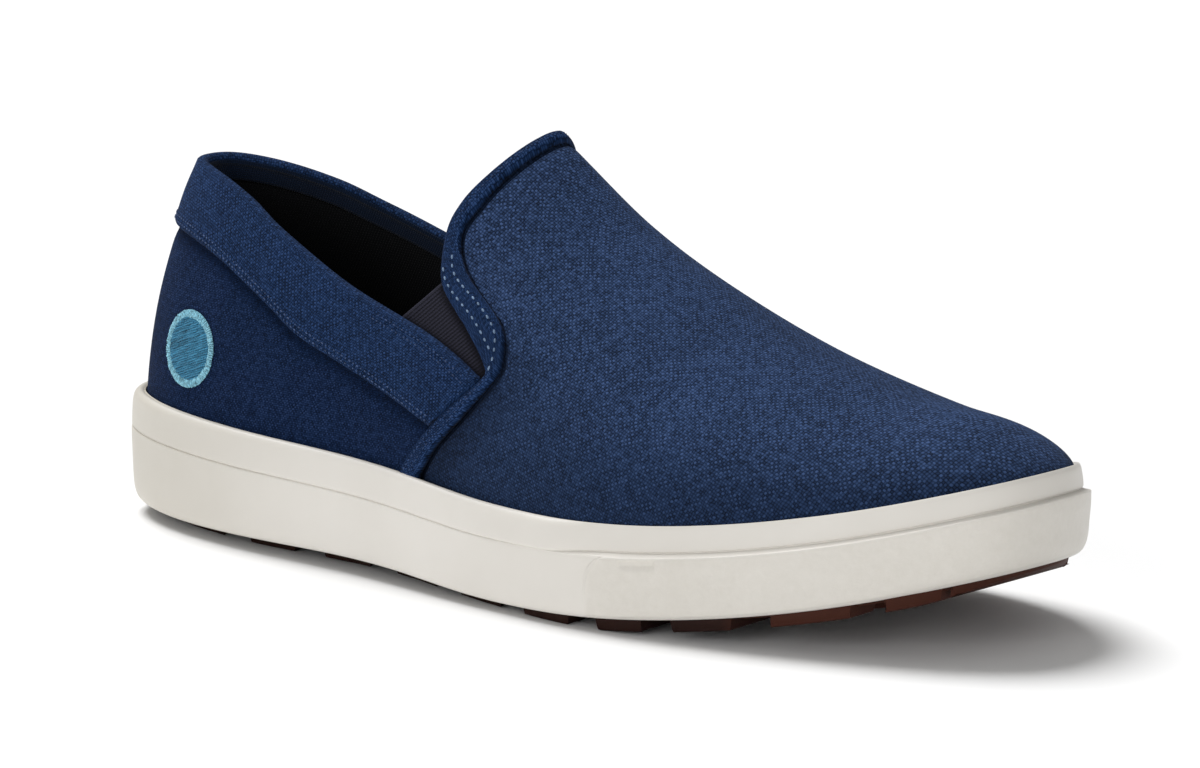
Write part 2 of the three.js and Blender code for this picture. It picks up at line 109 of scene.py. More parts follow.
# at, rise of the crest line by the instep's rise and by TOE_BOX
CREST = (
    (0.00, 1.324, 0.0), (0.12, 1.195, 0.0), (0.25, 1.125, 0.0), (0.40, 1.100, 0.0),
    (0.46, 0.985, 0.0), (0.55, 0.770, 0.0), (0.65, 0.500, 0.44), (0.75, 0.300, 0.63),
    (0.85, 0.100, 0.925), (0.93, 0.015, 0.893), (1.00, 0.0, 0.270),
)
THROAT_AT = 0.465
CREST_PIVOT = 0.527
CREST_REACH = 0.74
CREST_BOW = 0.019

# at, tuck, turn-up, swell by BALL
SECTIONS = (
    (0.0, 0.600, 0.98, -0.025), (0.2, 0.630, 1.01, 0.006), (0.4, 0.460, 0.97, 0.020),
    (0.6, 0.243, 1.06, 0.024), (0.8, 0.146, 1.03, 0.021), (1.0, 0.038, 1.03, 0.009),
)

# Lines seen from the side: at, height by HEEL_HEIGHT and by INSTEP_HEIGHT
COLLAR_EDGE = (
    (-0.050, 1.00, 0.0), (0.030, 1.00, 0.0), (0.105, 0.80, 0.150), (0.166, 0.62, 0.261),
    (0.218, 0.48, 0.324), (0.315, 0.20, 0.472), (0.393, 0.0, 0.590),
)
BAND_EDGE = (
    (-0.050, 0.82, 0.0), (0.068, 0.80, 0.0), (0.142, 0.70, 0.049), (0.219, 0.50, 0.143),
    (0.270, 0.33, 0.226), (0.331, 0.15, 0.334), (0.397, 0.03, 0.388), (0.470, 0.0, 0.355),
)
QUARTER_FRONT = (
    (0.393, 0.0, 0.590), (0.424, 0.0, 0.570), (0.452, 0.0, 0.547), (0.476, 0.0, 0.523),
    (0.506, 0.0, 0.487),
)
GORE_TOP = ((0.393, 0.0, 0.590), (0.406, 0.0, 0.620), (0.421, 0.0, 0.654), (0.434, 0.0, 0.684))

# Throat border: free edge and vamp edge, each at and up by INSTEP_HEIGHT
BORDER = (
    (0.479, 1.028, 0.4925, 1.012), (0.464, 0.992, 0.4760, 0.974), (0.441, 0.909, 0.4570, 0.899),
    (0.426, 0.842, 0.4460, 0.840), (0.422, 0.774, 0.4390, 0.776), (0.436, 0.672, 0.4590, 0.699),
    (0.478, 0.585, 0.5090, 0.607), (0.507, 0.517, 0.5230, 0.533), (0.506, 0.487, 0.5170, 0.488),
    (0.474, 0.416, 0.4880, 0.400), (0.444, 0.344, 0.4590, 0.325),
)
SEAM_FOOT = (0.415, 0.4385)
NOTCH = (0.506, 0.487)

# from, to: tread rows by LENGTH
TREAD_ROWS = (
    (-0.020, 0.065), (0.090, 0.155), (0.190, 0.250), (0.285, 0.345), (0.378, 0.436),
    (0.468, 0.526), (0.556, 0.612), (0.640, 0.686), (0.713, 0.770), (0.803, 0.871),
    (0.897, 0.938), (0.943, 1.020),
)
LUGS_OUT = (0.40, 0.64)
LUGS_IN = (0.92, 1.0)
GROOVES_FROM = 0.165
GROOVES_TO = 0.888
GROOVE_OFFSET = 0.17
ROW_SLANT = 0.10
SIPE = 1.0

# The smallest lug that is made, in mm squared, and the closest points round it, in mm
SMALLEST_LUG = 12.0
CLOSEST = 0.05


def srgb(text):
    """Linear colour of a hexadecimal one."""
    values = [int(text[i:i + 2], 16) / 255 for i in (0, 2, 4)]
    linear = [v / 12.92 if v <= 0.04045 else ((v + 0.055) / 1.055) ** 2.4 for v in values]
    return (*linear, 1.0)


# ---------------------------------------------------------------- the shoe's surfaces

def curve_through(places, values, end_slopes=None):
    """A smooth curve through a table's column, each slope weighted by its two spans."""
    places = np.asarray(places, float)
    values = np.asarray(values, float)
    spans = np.diff(places)
    rates = np.diff(values) / spans
    slopes = np.zeros_like(values)
    slopes[1:-1] = (rates[:-1] * spans[1:] + rates[1:] * spans[:-1]) / (spans[:-1] + spans[1:])
    if end_slopes is None:
        slopes[0] = 1.5 * rates[0] - 0.5 * slopes[1]
        slopes[-1] = 1.5 * rates[-1] - 0.5 * slopes[-2]

    def value(place):
        p = np.clip(place, places[0], places[-1])
        i = np.clip(np.searchsorted(places, p, side="right") - 1, 0, len(spans) - 1)
        t = (p - places[i]) / spans[i]
        s = 1 - t
        return (values[i] * (1 + 2 * t) * s * s + values[i + 1] * t * t * (3 - 2 * t)
                + spans[i] * (slopes[i] * t * s * s - slopes[i + 1] * t * t * s))

    return value


def column(rows, index, scale=1.0):
    return curve_through([row[0] for row in rows], [row[index] * scale for row in rows])


def smoothstep(value, low, high):
    t = np.clip((value - low) / (high - low), 0, 1)
    return t * t * (3 - 2 * t)


def side_breadth(index):
    angles = [math.acos(1 - 2 * row[0]) for row in SOLE_OUTLINE]
    bulges = [BALL * row[index] / math.sin(a) for row, a in zip(SOLE_OUTLINE, angles)]
    heel_end = math.sqrt(HEEL_RADIUS * BALL * LENGTH / 2)
    toe_end = math.sqrt(TOE_RADIUS * BALL * LENGTH / 2)
    return curve_through([0, *angles, math.pi], [heel_end, *bulges, toe_end], (0, 0))


OUTER_BREADTH = side_breadth(1)
INNER_BREADTH = side_breadth(2)


def outline_point(turn):
    """The sole's outline in plan. turn runs along the outer side to the toe (pi) and
    back along the inner side."""
    angle = np.mod(turn, 2 * np.pi)
    on_outer = angle <= np.pi
    swept = np.where(on_outer, angle, 2 * np.pi - angle)
    share = (1 - np.cos(swept)) / 2
    breadth = np.where(on_outer, -OUTER_BREADTH(swept), INNER_BREADTH(swept))
    return LENGTH * share, breadth * np.sin(swept) + TOE_SWING * BALL * share ** 4


def outwards(turn):
    before, after = outline_point(turn - 1e-3), outline_point(turn + 1e-3)
    dx, dy = after[0] - before[0], after[1] - before[1]
    run = np.hypot(dx, dy)
    return dy / run, -dx / run


def outline(turn, grow):
    x, y = outline_point(turn)
    nx, ny = outwards(turn)
    return x + grow * nx, y + grow * ny


LOWER_SHAPE = curve_through([row[0] for row in SOLE_HEIGHTS],
                            [row[1] * LUG_HEIGHT + row[2] * TOE_SPRING for row in SOLE_HEIGHTS])
PARTING_SHAPE = column(SOLE_HEIGHTS, 3, WALL_HEIGHT)
LIP_SHAPE = column(SOLE_HEIGHTS, 4, WALL_HEIGHT)
FLOOR_SHAPE = column(SOLE_HEIGHTS, 5, WALL_HEIGHT)


def lower_edge(x):
    return LOWER_SHAPE(x / LENGTH)


def parting(x):
    return lower_edge(x) + PARTING_SHAPE(x / LENGTH)


def lip(x):
    return lower_edge(x) + LIP_SHAPE(x / LENGTH)


def cup_floor(x):
    return lower_edge(x) + FLOOR_SHAPE(x / LENGTH)


def tread_face(x):
    return np.maximum(0, lower_edge(x) - LUG_HEIGHT)


INSTEP_RISE = INSTEP_HEIGHT - float(lip(THROAT_AT * LENGTH))
CREST_SHAPE = curve_through([row[0] for row in CREST],
                            [row[1] * INSTEP_RISE + row[2] * TOE_BOX for row in CREST])
TUCK = column(SECTIONS, 1)
TURN_UP = column(SECTIONS, 2)
SWELL = column(SECTIONS, 3, BALL)


def upper_point(turn, rise, grow):
    """The upper's face: rise runs from inside the lip (0) up to the crest line (1)."""
    angle = rise * np.pi / 2
    foot_x, foot_y = outline(turn, grow - LIP_WIDTH - CLEARANCE)
    share = (1 - np.cos(turn)) / 2
    crest_x = LENGTH * (CREST_PIVOT + (share - CREST_PIVOT) * CREST_REACH)
    crest_y = BALL * (0.8 * TOE_SWING * share ** 4 + CREST_BOW * np.sin(np.pi * share))
    turned_in = 1 - np.cos(angle) * (1 - TUCK(share) * np.sin(angle) ** 2)
    bulge = SWELL(share) * np.sin(np.minimum(rise * 1.15, 1) * np.pi)
    nx, ny = outwards(turn)
    x = foot_x + (crest_x - foot_x) * turned_in + bulge * nx
    y = foot_y + (crest_y - foot_y) * turned_in + bulge * ny
    start = lip(foot_x) - LIP_COVER
    top = lip(x) + CREST_SHAPE(x / LENGTH) + grow
    z = start + (top - start) * np.maximum(np.sin(angle), 0) ** TURN_UP(share)
    return np.stack([x, y, z], axis=-1)


def face(station, girth, grow=0.0):
    """The upper's face by station, heel (0) to toe (pi), and girth, from the outer lip
    (-1) over the crest (0) to the inner lip (1)."""
    station, girth, grow = np.broadcast_arrays(station, girth, grow)
    turn = np.where(girth > 0, 2 * np.pi - station, station)
    return upper_point(turn, 1 - np.abs(girth), grow)


def spline(before, a, b, after, t):
    """Between a (t = 0) and b (t = 1), on a curve that heeds their neighbours."""
    v0, v1 = (b - before) / 2, (after - a) / 2
    return ((2 * a - 2 * b + v0 + v1) * t ** 3 + (3 * b - 3 * a - 2 * v0 - v1) * t ** 2
            + v0 * t + a)


def smooth_line(points, per_span=16):
    """Uniform spline through points, with its ends repeated."""
    pts = np.array(points, float)
    held = np.vstack([pts[:1], pts, pts[-1:]])
    t = np.linspace(0, 1, per_span, endpoint=False)[:, None]
    return np.vstack([*(spline(*held[i:i + 4], t) for i in range(len(pts) - 1)), pts[-1:]])


def side_line(rows):
    return smooth_line([(at * LENGTH, heel * HEEL_HEIGHT + up * INSTEP_HEIGHT)
                        for at, heel, up in rows])


def border_line(at_index, foot_at):
    rows = [(row[at_index] * LENGTH, row[at_index + 1] * INSTEP_HEIGHT) for row in BORDER]
    foot_x = foot_at * LENGTH
    return smooth_line([*rows, (foot_x, float(lip(foot_x)) + CLEARANCE)])


COLLAR_LINE = side_line(COLLAR_EDGE)
FRONT_LINE = side_line(QUARTER_FRONT)
BAND_LINE = side_line(BAND_EDGE)
FREE_LINE = border_line(0, SEAM_FOOT[0])
VAMP_LINE = border_line(2, SEAM_FOOT[1])
TOP_LINE = np.vstack([COLLAR_LINE, FRONT_LINE[1:]])


def up_line(line):
    """x of a line that falls from the crest to the lip, at a height."""
    order = np.argsort(line[:, 1])
    zs, xs = line[order, 1], line[order, 0]
    return lambda z: np.interp(z, zs, xs)


def along_line(line):
    """Height of a line that runs from the heel forwards, at x."""
    return lambda x: np.interp(x, line[:, 0], line[:, 1])


# How a line's place on the face is searched for
HALVINGS = 34
STATION_BOUNDS = (0.3, 2.4)
HIGHEST_RISE = 0.995
SEARCH_ROUNDS = 14
SEARCH_STEP = 1e-4
SEARCH_REACH = 0.2
SMALLEST_AREA = 1e-6
SIDE_VIEW = ((1, 0, 0), (0, 0, 1))


def halve(low, high, beyond):
    """The place between two bounds from which a test holds."""
    for _ in range(HALVINGS):
        middle = (low + high) / 2
        past = beyond(middle)
        high = np.where(past, middle, high)
        low = np.where(past, low, middle)
    return (low + high) / 2


def station_on(girth, x_at):
    """Stations where a line of the border crosses each girth."""
    def beyond(station):
        p = face(station, girth)
        return p[..., 0] > x_at(p[..., 2])

    low, high = (np.full(np.shape(girth), bound) for bound in STATION_BOUNDS)
    return halve(low, high, beyond)


def rise_on(station, side, z_at):
    """Rises where a line that runs along the shoe crosses each station."""
    def beyond(rise):
        p = face(station, side * (1 - rise))
        return p[..., 2] > z_at(p[..., 0])

    return halve(np.zeros(np.shape(station)), np.full(np.shape(station), HIGHEST_RISE), beyond)


def meeting(side, x_at, z_at):
    """Rise at which a border line and a line along the shoe meet."""
    def beyond(rise):
        girth = np.asarray(side * (1 - rise))
        p = face(station_on(girth, x_at), girth)
        return p[2] > z_at(p[0])

    return halve(0.02, 0.95, beyond)


def area_between(a, b):
    """Signed area of the parallelogram of two flat directions."""
    return a[..., 0] * b[..., 1] - a[..., 1] * b[..., 0]


def find(points, axes, side, start=None):
    """Station and rise of points that lie on the face when it is seen along the third
    direction of axes, by steps along the face's own directions."""
    points = np.asarray(points, float)
    axes = np.asarray(axes, float)
    if start is None:
        start = (np.arccos(np.clip(1 - 2 * points[..., 0] / LENGTH, -0.99, 0.99)), 0.4)
    station, rise = (np.broadcast_to(value, points.shape[:-1]) for value in start)
    for _ in range(SEARCH_ROUNDS):
        here = face(station, side * (1 - rise))
        miss = (points - here) @ axes.T
        ds = (face(station + SEARCH_STEP, side * (1 - rise)) - here) @ axes.T / SEARCH_STEP
        dr = (face(station, side * (1 - rise - SEARCH_STEP)) - here) @ axes.T / SEARCH_STEP
        area = area_between(ds, dr)
        area = np.where(np.abs(area) < SMALLEST_AREA, SMALLEST_AREA, area)
        forwards = np.clip(area_between(miss, dr) / area, -SEARCH_REACH, SEARCH_REACH)
        upwards = np.clip(area_between(ds, miss) / area, -SEARCH_REACH, SEARCH_REACH)
        station = station + forwards
        rise = np.clip(rise + upwards, 0.0, 0.98)
    return station, rise


def find_from_side(places, side):
    """Station and rise of places given by x and height, as seen from the side."""
    places = np.asarray(places, float)
    flat = np.stack([places[..., 0], np.zeros(places.shape[:-1]), places[..., 1]], axis=-1)
    return find(flat, SIDE_VIEW, side)


def side_curve(places, side, grow):
    """Points of a line seen from the side, laid on the face."""
    station, rise = find_from_side(places, side)
    return face(station, side * (1 - rise), grow)


def patch_between(bottom, top, back, front):
    """A patch between four curves of (station, rise), by rows up and columns forwards."""
    u = np.linspace(0, 1, len(bottom))[None, :, None]
    v = np.linspace(0, 1, len(back))[:, None, None]
    bottom, top = bottom[None], top[None]
    back, front = back[:, None], front[:, None]
    corners = ((1 - u) * (1 - v) * bottom[:, :1] + u * (1 - v) * bottom[:, -1:]
               + (1 - u) * v * top[:, :1] + u * v * top[:, -1:])
    return (1 - v) * bottom + v * top + (1 - u) * back + u * front - corners


def half_strip(side, z_low, z_high, x_front, columns, rows):
    """(station, rise) between two lines along the shoe, from the heel to a border line.
    z_low None means the lip."""
    front_low = 0.0 if z_low is None else meeting(side, x_front, z_low)
    front_rise = np.linspace(front_low, meeting(side, x_front, z_high), rows)
    front = np.stack([station_on(side * (1 - front_rise), x_front), front_rise], -1)
    share = np.linspace(0, 1, columns)
    low_station, high_station = share * front[0, 0], share * front[-1, 0]
    low_rise = np.zeros(columns) if z_low is None else rise_on(low_station, side, z_low)
    high_rise = rise_on(high_station, side, z_high)
    back = np.stack([np.zeros(rows), np.linspace(low_rise[0], high_rise[0], rows)], -1)
    return patch_between(np.stack([low_station, low_rise], -1),
                         np.stack([high_station, high_rise], -1), back, front)


def wrap_strip(z_low, z_high, x_front, columns, rows):
    """(station, girth) of a strip from the inner front round the heel to the outer one."""
    inner = half_strip(1, z_low, z_high, x_front, columns, rows)
    outer = half_strip(-1, z_low, z_high, x_front, columns, rows)
    inner = np.stack([inner[..., 0], 1 - inner[..., 1]], -1)[:, ::-1]
    outer = np.stack([outer[..., 0], outer[..., 1] - 1], -1)
    return np.concatenate([inner, outer[:, 1:]], axis=1)


def lookup(strip, share):
    """(station, girth) at a share of a strip's height, one for each column."""
    place = np.clip(share, 0, 1) * (strip.shape[0] - 1)
    low = np.minimum(place.astype(int), strip.shape[0] - 2)
    part = (place - low)[..., None]
    columns = np.arange(strip.shape[1])
    return strip[low, columns] * (1 - part) + strip[low + 1, columns] * part


# ---------------------------------------------------------------- meshes

def to_row(points):
    return (np.asarray(points, float).reshape(-1, 3) - ORIGIN) / 1000


def lengths(grid, axis):
    """Running length along one axis of a grid of points."""
    steps = np.linalg.norm(np.diff(grid, axis=axis), axis=-1)
    return np.concatenate([np.zeros_like(np.take(steps, [0], axis)), np.cumsum(steps, axis)], axis)


class MeshParts:
    """Collects grids of points as one mesh, with a cloth map in millimetres, a shade
    and a finish, which is the number of a face's material."""

    def __init__(self):
        self.points, self.cloth, self.shade = [], [], []
        self.faces, self.finish = [], []
        self.count = 0

    def add_points(self, points, cloth=None, shade=None):
        points = np.asarray(points, float).reshape(-1, 3)
        n = len(points)
        self.points.append(points)
        self.cloth.append(np.zeros((n, 2)) if cloth is None
                          else np.asarray(cloth, float).reshape(-1, 2))
        self.shade.append(np.ones(n) if shade is None else
                          np.broadcast_to(np.asarray(shade, float).reshape(-1), (n,)))
        start = self.count
        self.count += n
        return start

    def add_grid(self, grid, cloth=None, shade=None, flip=False, close=False, finish=0):
        """A skin over a grid. close joins its last row to its first."""
        grid = np.asarray(grid, float)
        rows, cols = grid.shape[:2]
        start = self.add_points(grid, cloth, shade)
        index = start + np.arange(rows * cols).reshape(rows, cols)
        if close:
            index = np.vstack([index, index[:1]])
        quads = np.stack([index[:-1, :-1], index[:-1, 1:], index[1:, 1:], index[1:, :-1]], -1)
        if flip:
            quads = quads[..., ::-1]
        number = np.broadcast_to(np.asarray(finish).reshape(-1, 1) if np.ndim(finish) else finish,
                                 quads.shape[:2])
        self.faces.append(quads.reshape(-1, 4))
        self.finish.append(number.reshape(-1))
        return index

    def add_quads(self, first, second):
        quads = np.stack([first[:-1], first[1:], second[1:], second[:-1]], -1)
        self.faces.append(quads)
        self.finish.append(np.zeros(len(quads), int))

    def add_cap(self, ring):
        """Faces across a closed ring, from side to side."""
        half = len(ring) // 2
        self.add_quads(ring[:half + 1], ring[half:][::-1])

    def add_shell(self, outer, inner, cloth=None, shade=None, last_column=True):
        """Two skins and the walls between their edges."""
        a = self.add_grid(outer, cloth, shade)
        b = self.add_grid(inner, cloth, shade, flip=True)
        self.add_quads(b[0], a[0])
        self.add_quads(a[-1], b[-1])
        self.add_quads(a[:, 0], b[:, 0])
        if last_column:
            self.add_quads(b[:, -1], a[:, -1])

    def add_loops(self, loops, cloth=None, shade=None, finish=0):
        """A tube over loops of points, with its ends closed: rows run round it and
        columns along it."""
        index = self.add_grid(loops, cloth, shade, close=True, finish=finish)
        for ring in (index[:-1, 0], index[:-1, -1][::-1]):
            half = len(ring) // 2
            low, high = ring[:half], ring[half:][::-1]
            n = min(len(low), len(high))
            quads = np.stack([low[:n - 1], high[:n - 1], high[1:n], low[1:n]], -1)
            self.faces.append(quads)
            self.finish.append(np.zeros(len(quads), int))

    def build(self, name, merge=0.002):
        """The object, with points closer than merge in mm made one."""
        mesh = bpy.data.meshes.new(name)
        mesh.from_pydata(to_row(np.vstack(self.points)).tolist(), [],
                         np.vstack(self.faces).tolist())
        corners = np.empty(len(mesh.loops), np.int64)
        mesh.loops.foreach_get("vertex_index", corners)
        cloth = mesh.uv_layers.new(name="cloth")
        cloth.data.foreach_set("uv", np.vstack(self.cloth)[corners].astype(np.float32).ravel())
        shade = mesh.attributes.new("shade", "FLOAT", "POINT")
        shade.data.foreach_set("value", np.concatenate(self.shade).astype(np.float32))
        finish = np.concatenate(self.finish).astype(np.int32)
        mesh.polygons.foreach_set("material_index", finish)
        work = bmesh.new()
        work.from_mesh(mesh)
        bmesh.ops.remove_doubles(work, verts=work.verts, dist=merge / 1000)
        bmesh.ops.recalc_face_normals(work, faces=work.faces)
        work.to_mesh(mesh)
        work.free()
        mesh.polygons.foreach_set("use_smooth", np.ones(len(mesh.polygons), bool))
        mesh.update()
        return bpy.data.objects.new(name, mesh)


def add_piece(piece, nodes=(), materials=()):
    """Links a finished piece, gives it its materials and ties it to the frame."""
    bpy.context.scene.collection.objects.link(piece)
    for material in materials:
        piece.data.materials.append(material)
    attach(piece, "root")
    if nodes:
        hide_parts(*nodes)
    return piece


# ---------------------------------------------------------------- node trees

class Nodes:
    """A node tree whose nodes are added and linked step by step."""

    def __init__(self, tree):
        self.nodes, self.links = tree.nodes, tree.links

    def put(self, socket, value):
        """Links another node's output to a socket, or sets the socket's own value."""
        if isinstance(value, bpy.types.NodeSocket):
            self.links.new(value, socket)
        else:
            socket.default_value = value

    def add(self, kind, inputs=None, **settings):
        """A new node, with its inputs by name or number."""
        node = self.nodes.new(kind)
        for key, value in settings.items():
            setattr(node, key, value)
        for key, value in (inputs or {}).items():
            self.put(node.inputs[key], value)
        return node


# ---------------------------------------------------------------- materials

def tinted(colour, factor, lift=0.0):
    """A colour made darker or lighter."""
    return (*(min(1, c * factor + lift) for c in colour[:3]), 1)


class Shader(Nodes):
    """One material's nodes."""

    def __init__(self, name):
        self.material = bpy.data.materials.new(name)
        self.material.use_nodes = True
        super().__init__(self.material.node_tree)
        self.surface = self.nodes["Principled BSDF"]

    def maths(self, operation, *values, clamp=False):
        return self.add("ShaderNodeMath", dict(enumerate(values)), operation=operation,
                        use_clamp=clamp).outputs[0]

    def chain(self, operation, total, *values):
        for value in values:
            total = self.maths(operation, total, value)
        return total

    def plus(self, *values):
        return self.chain("ADD", *values)

    def times(self, *values):
        return self.chain("MULTIPLY", *values)

    def minus(self, first, second):
        return self.maths("SUBTRACT", first, second)

    def sine(self, value, factor):
        return self.maths("SINE", self.times(value, factor))

    def mix(self, factor, first, second):
        return self.add("ShaderNodeMix", {0: factor, 6: first, 7: second},
                        data_type="RGBA").outputs[2]

    def ranged(self, value, low, high, to_low=0.0, to_high=1.0):
        return self.add("ShaderNodeMapRange",
                        dict(enumerate((value, low, high, to_low, to_high)))).outputs[0]

    def placed(self, vector, scale=(1, 1, 1), **more):
        """A vector scaled, turned (Rotation) or moved (Location)."""
        return self.add("ShaderNodeMapping",
                        {"Vector": vector, "Scale": scale, **more}).outputs[0]

    def places(self, scale=1000):
        """Object coordinates, in millimetres with a scale of 1000."""
        coords = self.add("ShaderNodeTexCoord").outputs["Object"]
        return self.placed(coords, (scale, scale, scale))

    def cloth(self):
        """The piece's cloth map, in millimetres."""
        return self.add("ShaderNodeUVMap", uv_map="cloth").outputs[0]

    def split(self, vector):
        return self.add("ShaderNodeSeparateXYZ", {"Vector": vector}).outputs[:2]

    def noise(self, vector, scale, detail=2.0, roughness=0.5):
        return self.add("ShaderNodeTexNoise", {
            "Vector": vector, "Scale": scale, "Detail": detail, "Roughness": roughness,
        }).outputs["Fac"]

    def shade(self):
        return self.add("ShaderNodeAttribute", attribute_name="shade").outputs["Fac"]

    def bump(self, height, strength, distance):
        """A bump whose distance is in millimetres."""
        return self.add("ShaderNodeBump", {
            "Height": height, "Strength": strength, "Distance": distance / 1000}).outputs[0]

    def finish(self, colour, roughness, normal=None, **constants):
        inputs = self.surface.inputs
        self.put(inputs["Base Color"], colour)
        self.put(inputs["Roughness"], roughness)
        if normal is not None:
            self.put(inputs["Normal"], normal)
        for key, value in constants.items():
            name = key.replace("_", " ").title().replace("Ior", "IOR")
            inputs[name].default_value = value
        return self.material


def woven(name, colour, pitch, relief, contrast=1.35, check=0.5, slub=0.45, speck=0.9,
          mottle=0.35, sheen=0.015, specular=0.06):
    """Plain-woven cloth on the piece's cloth map: warp and weft threads that cross over
    and under, light and dark crossings, slubs along the threads and a slow change of depth."""
    s = Shader(name)
    cloth = s.cloth()
    wobble = s.times(s.minus(s.noise(cloth, 0.35), 0.5), pitch * 1.4)
    across, up = (s.maths("DIVIDE", s.plus(run, wobble), pitch) for run in s.split(cloth))
    warp, weft = s.sine(across, math.pi), s.sine(up, math.pi)
    over = s.maths("GREATER_THAN", s.times(warp, weft), 0.0)
    ridge = s.times(s.maths("ABSOLUTE", warp), s.maths("ABSOLUTE", weft))
    gaps = s.maths("POWER", ridge, 0.45)
    crossing = s.add("ShaderNodeCombineXYZ", {
        "X": s.maths("FLOOR", across), "Y": s.maths("FLOOR", up)}).outputs[0]
    specks = s.add("ShaderNodeTexWhiteNoise", {"Vector": crossing}).outputs["Value"]
    short, long = 1 / pitch, 0.14 / pitch
    warp_slub = s.noise(s.placed(cloth, (short, long, 1)), 1.0, 3.0, 0.65)
    weft_slub = s.noise(s.placed(cloth, (long, short, 1), Location=(37, 11, 0)), 1.0, 3.0, 0.65)
    yarn = s.mix(over, warp_slub, weft_slub)
    slow = s.noise(s.places(1), 28.0, 3.0, 0.55)
    tone = 1.0
    for part, middle, amount in (
            (yarn, 0.5, 2 * slub), (specks, 0.5, speck), (slow, 0.5, 2 * mottle),
            (gaps, 0.62, contrast), (over, 0.5, check)):
        tone = s.plus(s.times(s.minus(part, middle), amount), tone)
    tone = s.times(tone, s.shade())
    base = s.mix(s.ranged(tone, 0.0, 1.0), tinted(colour, 0.12), colour)
    base = s.mix(s.ranged(tone, 1.0, 2.0), base, tinted(colour, 2.2, 0.010))
    height = s.plus(s.times(gaps, 0.7), s.times(yarn, 0.3))
    return s.finish(base, s.ranged(yarn, 0.3, 0.7, 0.82, 0.95), s.bump(height, 0.9, relief),
                    sheen_weight=sheen, sheen_roughness=0.45, specular_ior_level=specular)


def knitted(name, colour, pitch, relief):
    """Fine lining cloth."""
    s = Shader(name)
    u, v = s.split(s.cloth())
    turn = 2 * math.pi / pitch
    across = s.sine(u, turn)
    up = s.sine(s.plus(v, s.times(s.maths("ABSOLUTE", across), pitch * 0.3)), turn)
    loops = s.times(s.plus(across, 1.4), s.plus(up, 1.4))
    soil = s.noise(s.places(1), 60.0, 3.0)
    tone = s.times(s.plus(s.times(loops, 0.14), s.times(soil, 0.8)), s.shade())
    base = s.mix(s.ranged(tone, 0.1, 0.9), tinted(colour, 0.35), colour)
    return s.finish(base, 0.95, s.bump(loops, 0.6, relief), sheen_weight=0.08,
                    sheen_roughness=0.5, specular_ior_level=0.2)


def ribbed(name, colour, pitch):
    """Covered elastic: cords along u with fine crossing yarns."""
    s = Shader(name)
    cloth = s.cloth()
    u, v = s.split(cloth)
    cords = s.sine(v, 2 * math.pi / pitch)
    yarns = s.sine(u, 2 * math.pi / (pitch * 0.8))
    fleck = s.noise(s.placed(cloth, (1.6, 3.4, 1)), 1.0, 3.0, 0.7)
    tone = s.plus(s.times(cords, 0.75), s.times(fleck, 1.1), s.times(yarns, 0.12))
    tone = s.times(tone, s.shade())
    base = s.mix(s.ranged(tone, 0.0, 0.55), tinted(colour, 0.22), colour)
    base = s.mix(s.ranged(tone, 0.55, 1.3), base, tinted(colour, 2.1, 0.008))
    height = s.plus(yarns, s.times(fleck, 0.6))
    return s.finish(base, 0.85, s.bump(height, 0.5, 0.06), sheen_weight=0.03,
                    sheen_roughness=0.4, specular_ior_level=0.1)


def moulded(name, colour, low, roughness, grain, soil, painted_shade, specular=0.4, coat=0.04):
    """Moulded rubber: fine grain where shade is below one, soil by its random tone, and
    painted shade that grows along the shoe, between two places in mm up to an amount."""
    s = Shader(name)
    where = s.places()
    broad = s.noise(where, 0.02, 4.0, 0.6)
    fine = s.noise(where, 0.9, 3.0, 0.7)
    specks = s.noise(where, 0.35, 4.0, 0.75)
    grained = s.minus(1.0, s.shade())
    tone = s.plus(s.times(broad, 0.8), s.times(specks, grained, 0.75))
    # soil by random tone, plus painted shade that grows along the shoe
    shade_from, shade_to, amount = painted_shade
    soil_and_shade = s.maths("ADD", s.ranged(tone, 0.3, 0.95, 0.0, soil),
                   s.ranged(s.split(where)[0], shade_from, shade_to, 0.0, amount), clamp=True)
    base = s.mix(soil_and_shade, colour, low)
    height = s.times(fine, s.plus(s.times(grained, 3.0), 0.35))
    return s.finish(base, s.ranged(broad, 0.3, 0.7, roughness - 0.06, roughness + 0.08),
                    s.bump(height, 0.5, grain), specular_ior_level=specular,
                    coat_weight=coat, coat_roughness=0.4)


def thread(name, colour, spread=0.35, lean=None, batches=0.35):
    """Sewing thread with its twist. Satin threads that all lean one way, in degrees seen
    from the side, differ from one to the next."""
    s = Shader(name)
    where = s.places()
    fibre = s.noise(where, 2.2, 2.0, 0.6)
    if lean is None:
        batch = s.noise(where, batches, 2.0, 0.6)
    else:
        turned = s.placed(where, Rotation=(0, math.radians(lean), 0))
        batch = s.noise(s.placed(turned, (0.1, 0.1, 1.7)), 1.0, 2.0, 0.7)
    tone = s.ranged(s.plus(fibre, s.times(batch, 1.2)), 0.8, 1.4)
    base = s.mix(tone, tinted(colour, 1 - spread), tinted(colour, 1 + spread))
    return s.finish(base, 0.6, s.bump(fibre, 0.5, 0.06), sheen_weight=0.05,
                    sheen_roughness=0.4, specular_ior_level=0.15)


# ---------------------------------------------------------------- geometry nodes

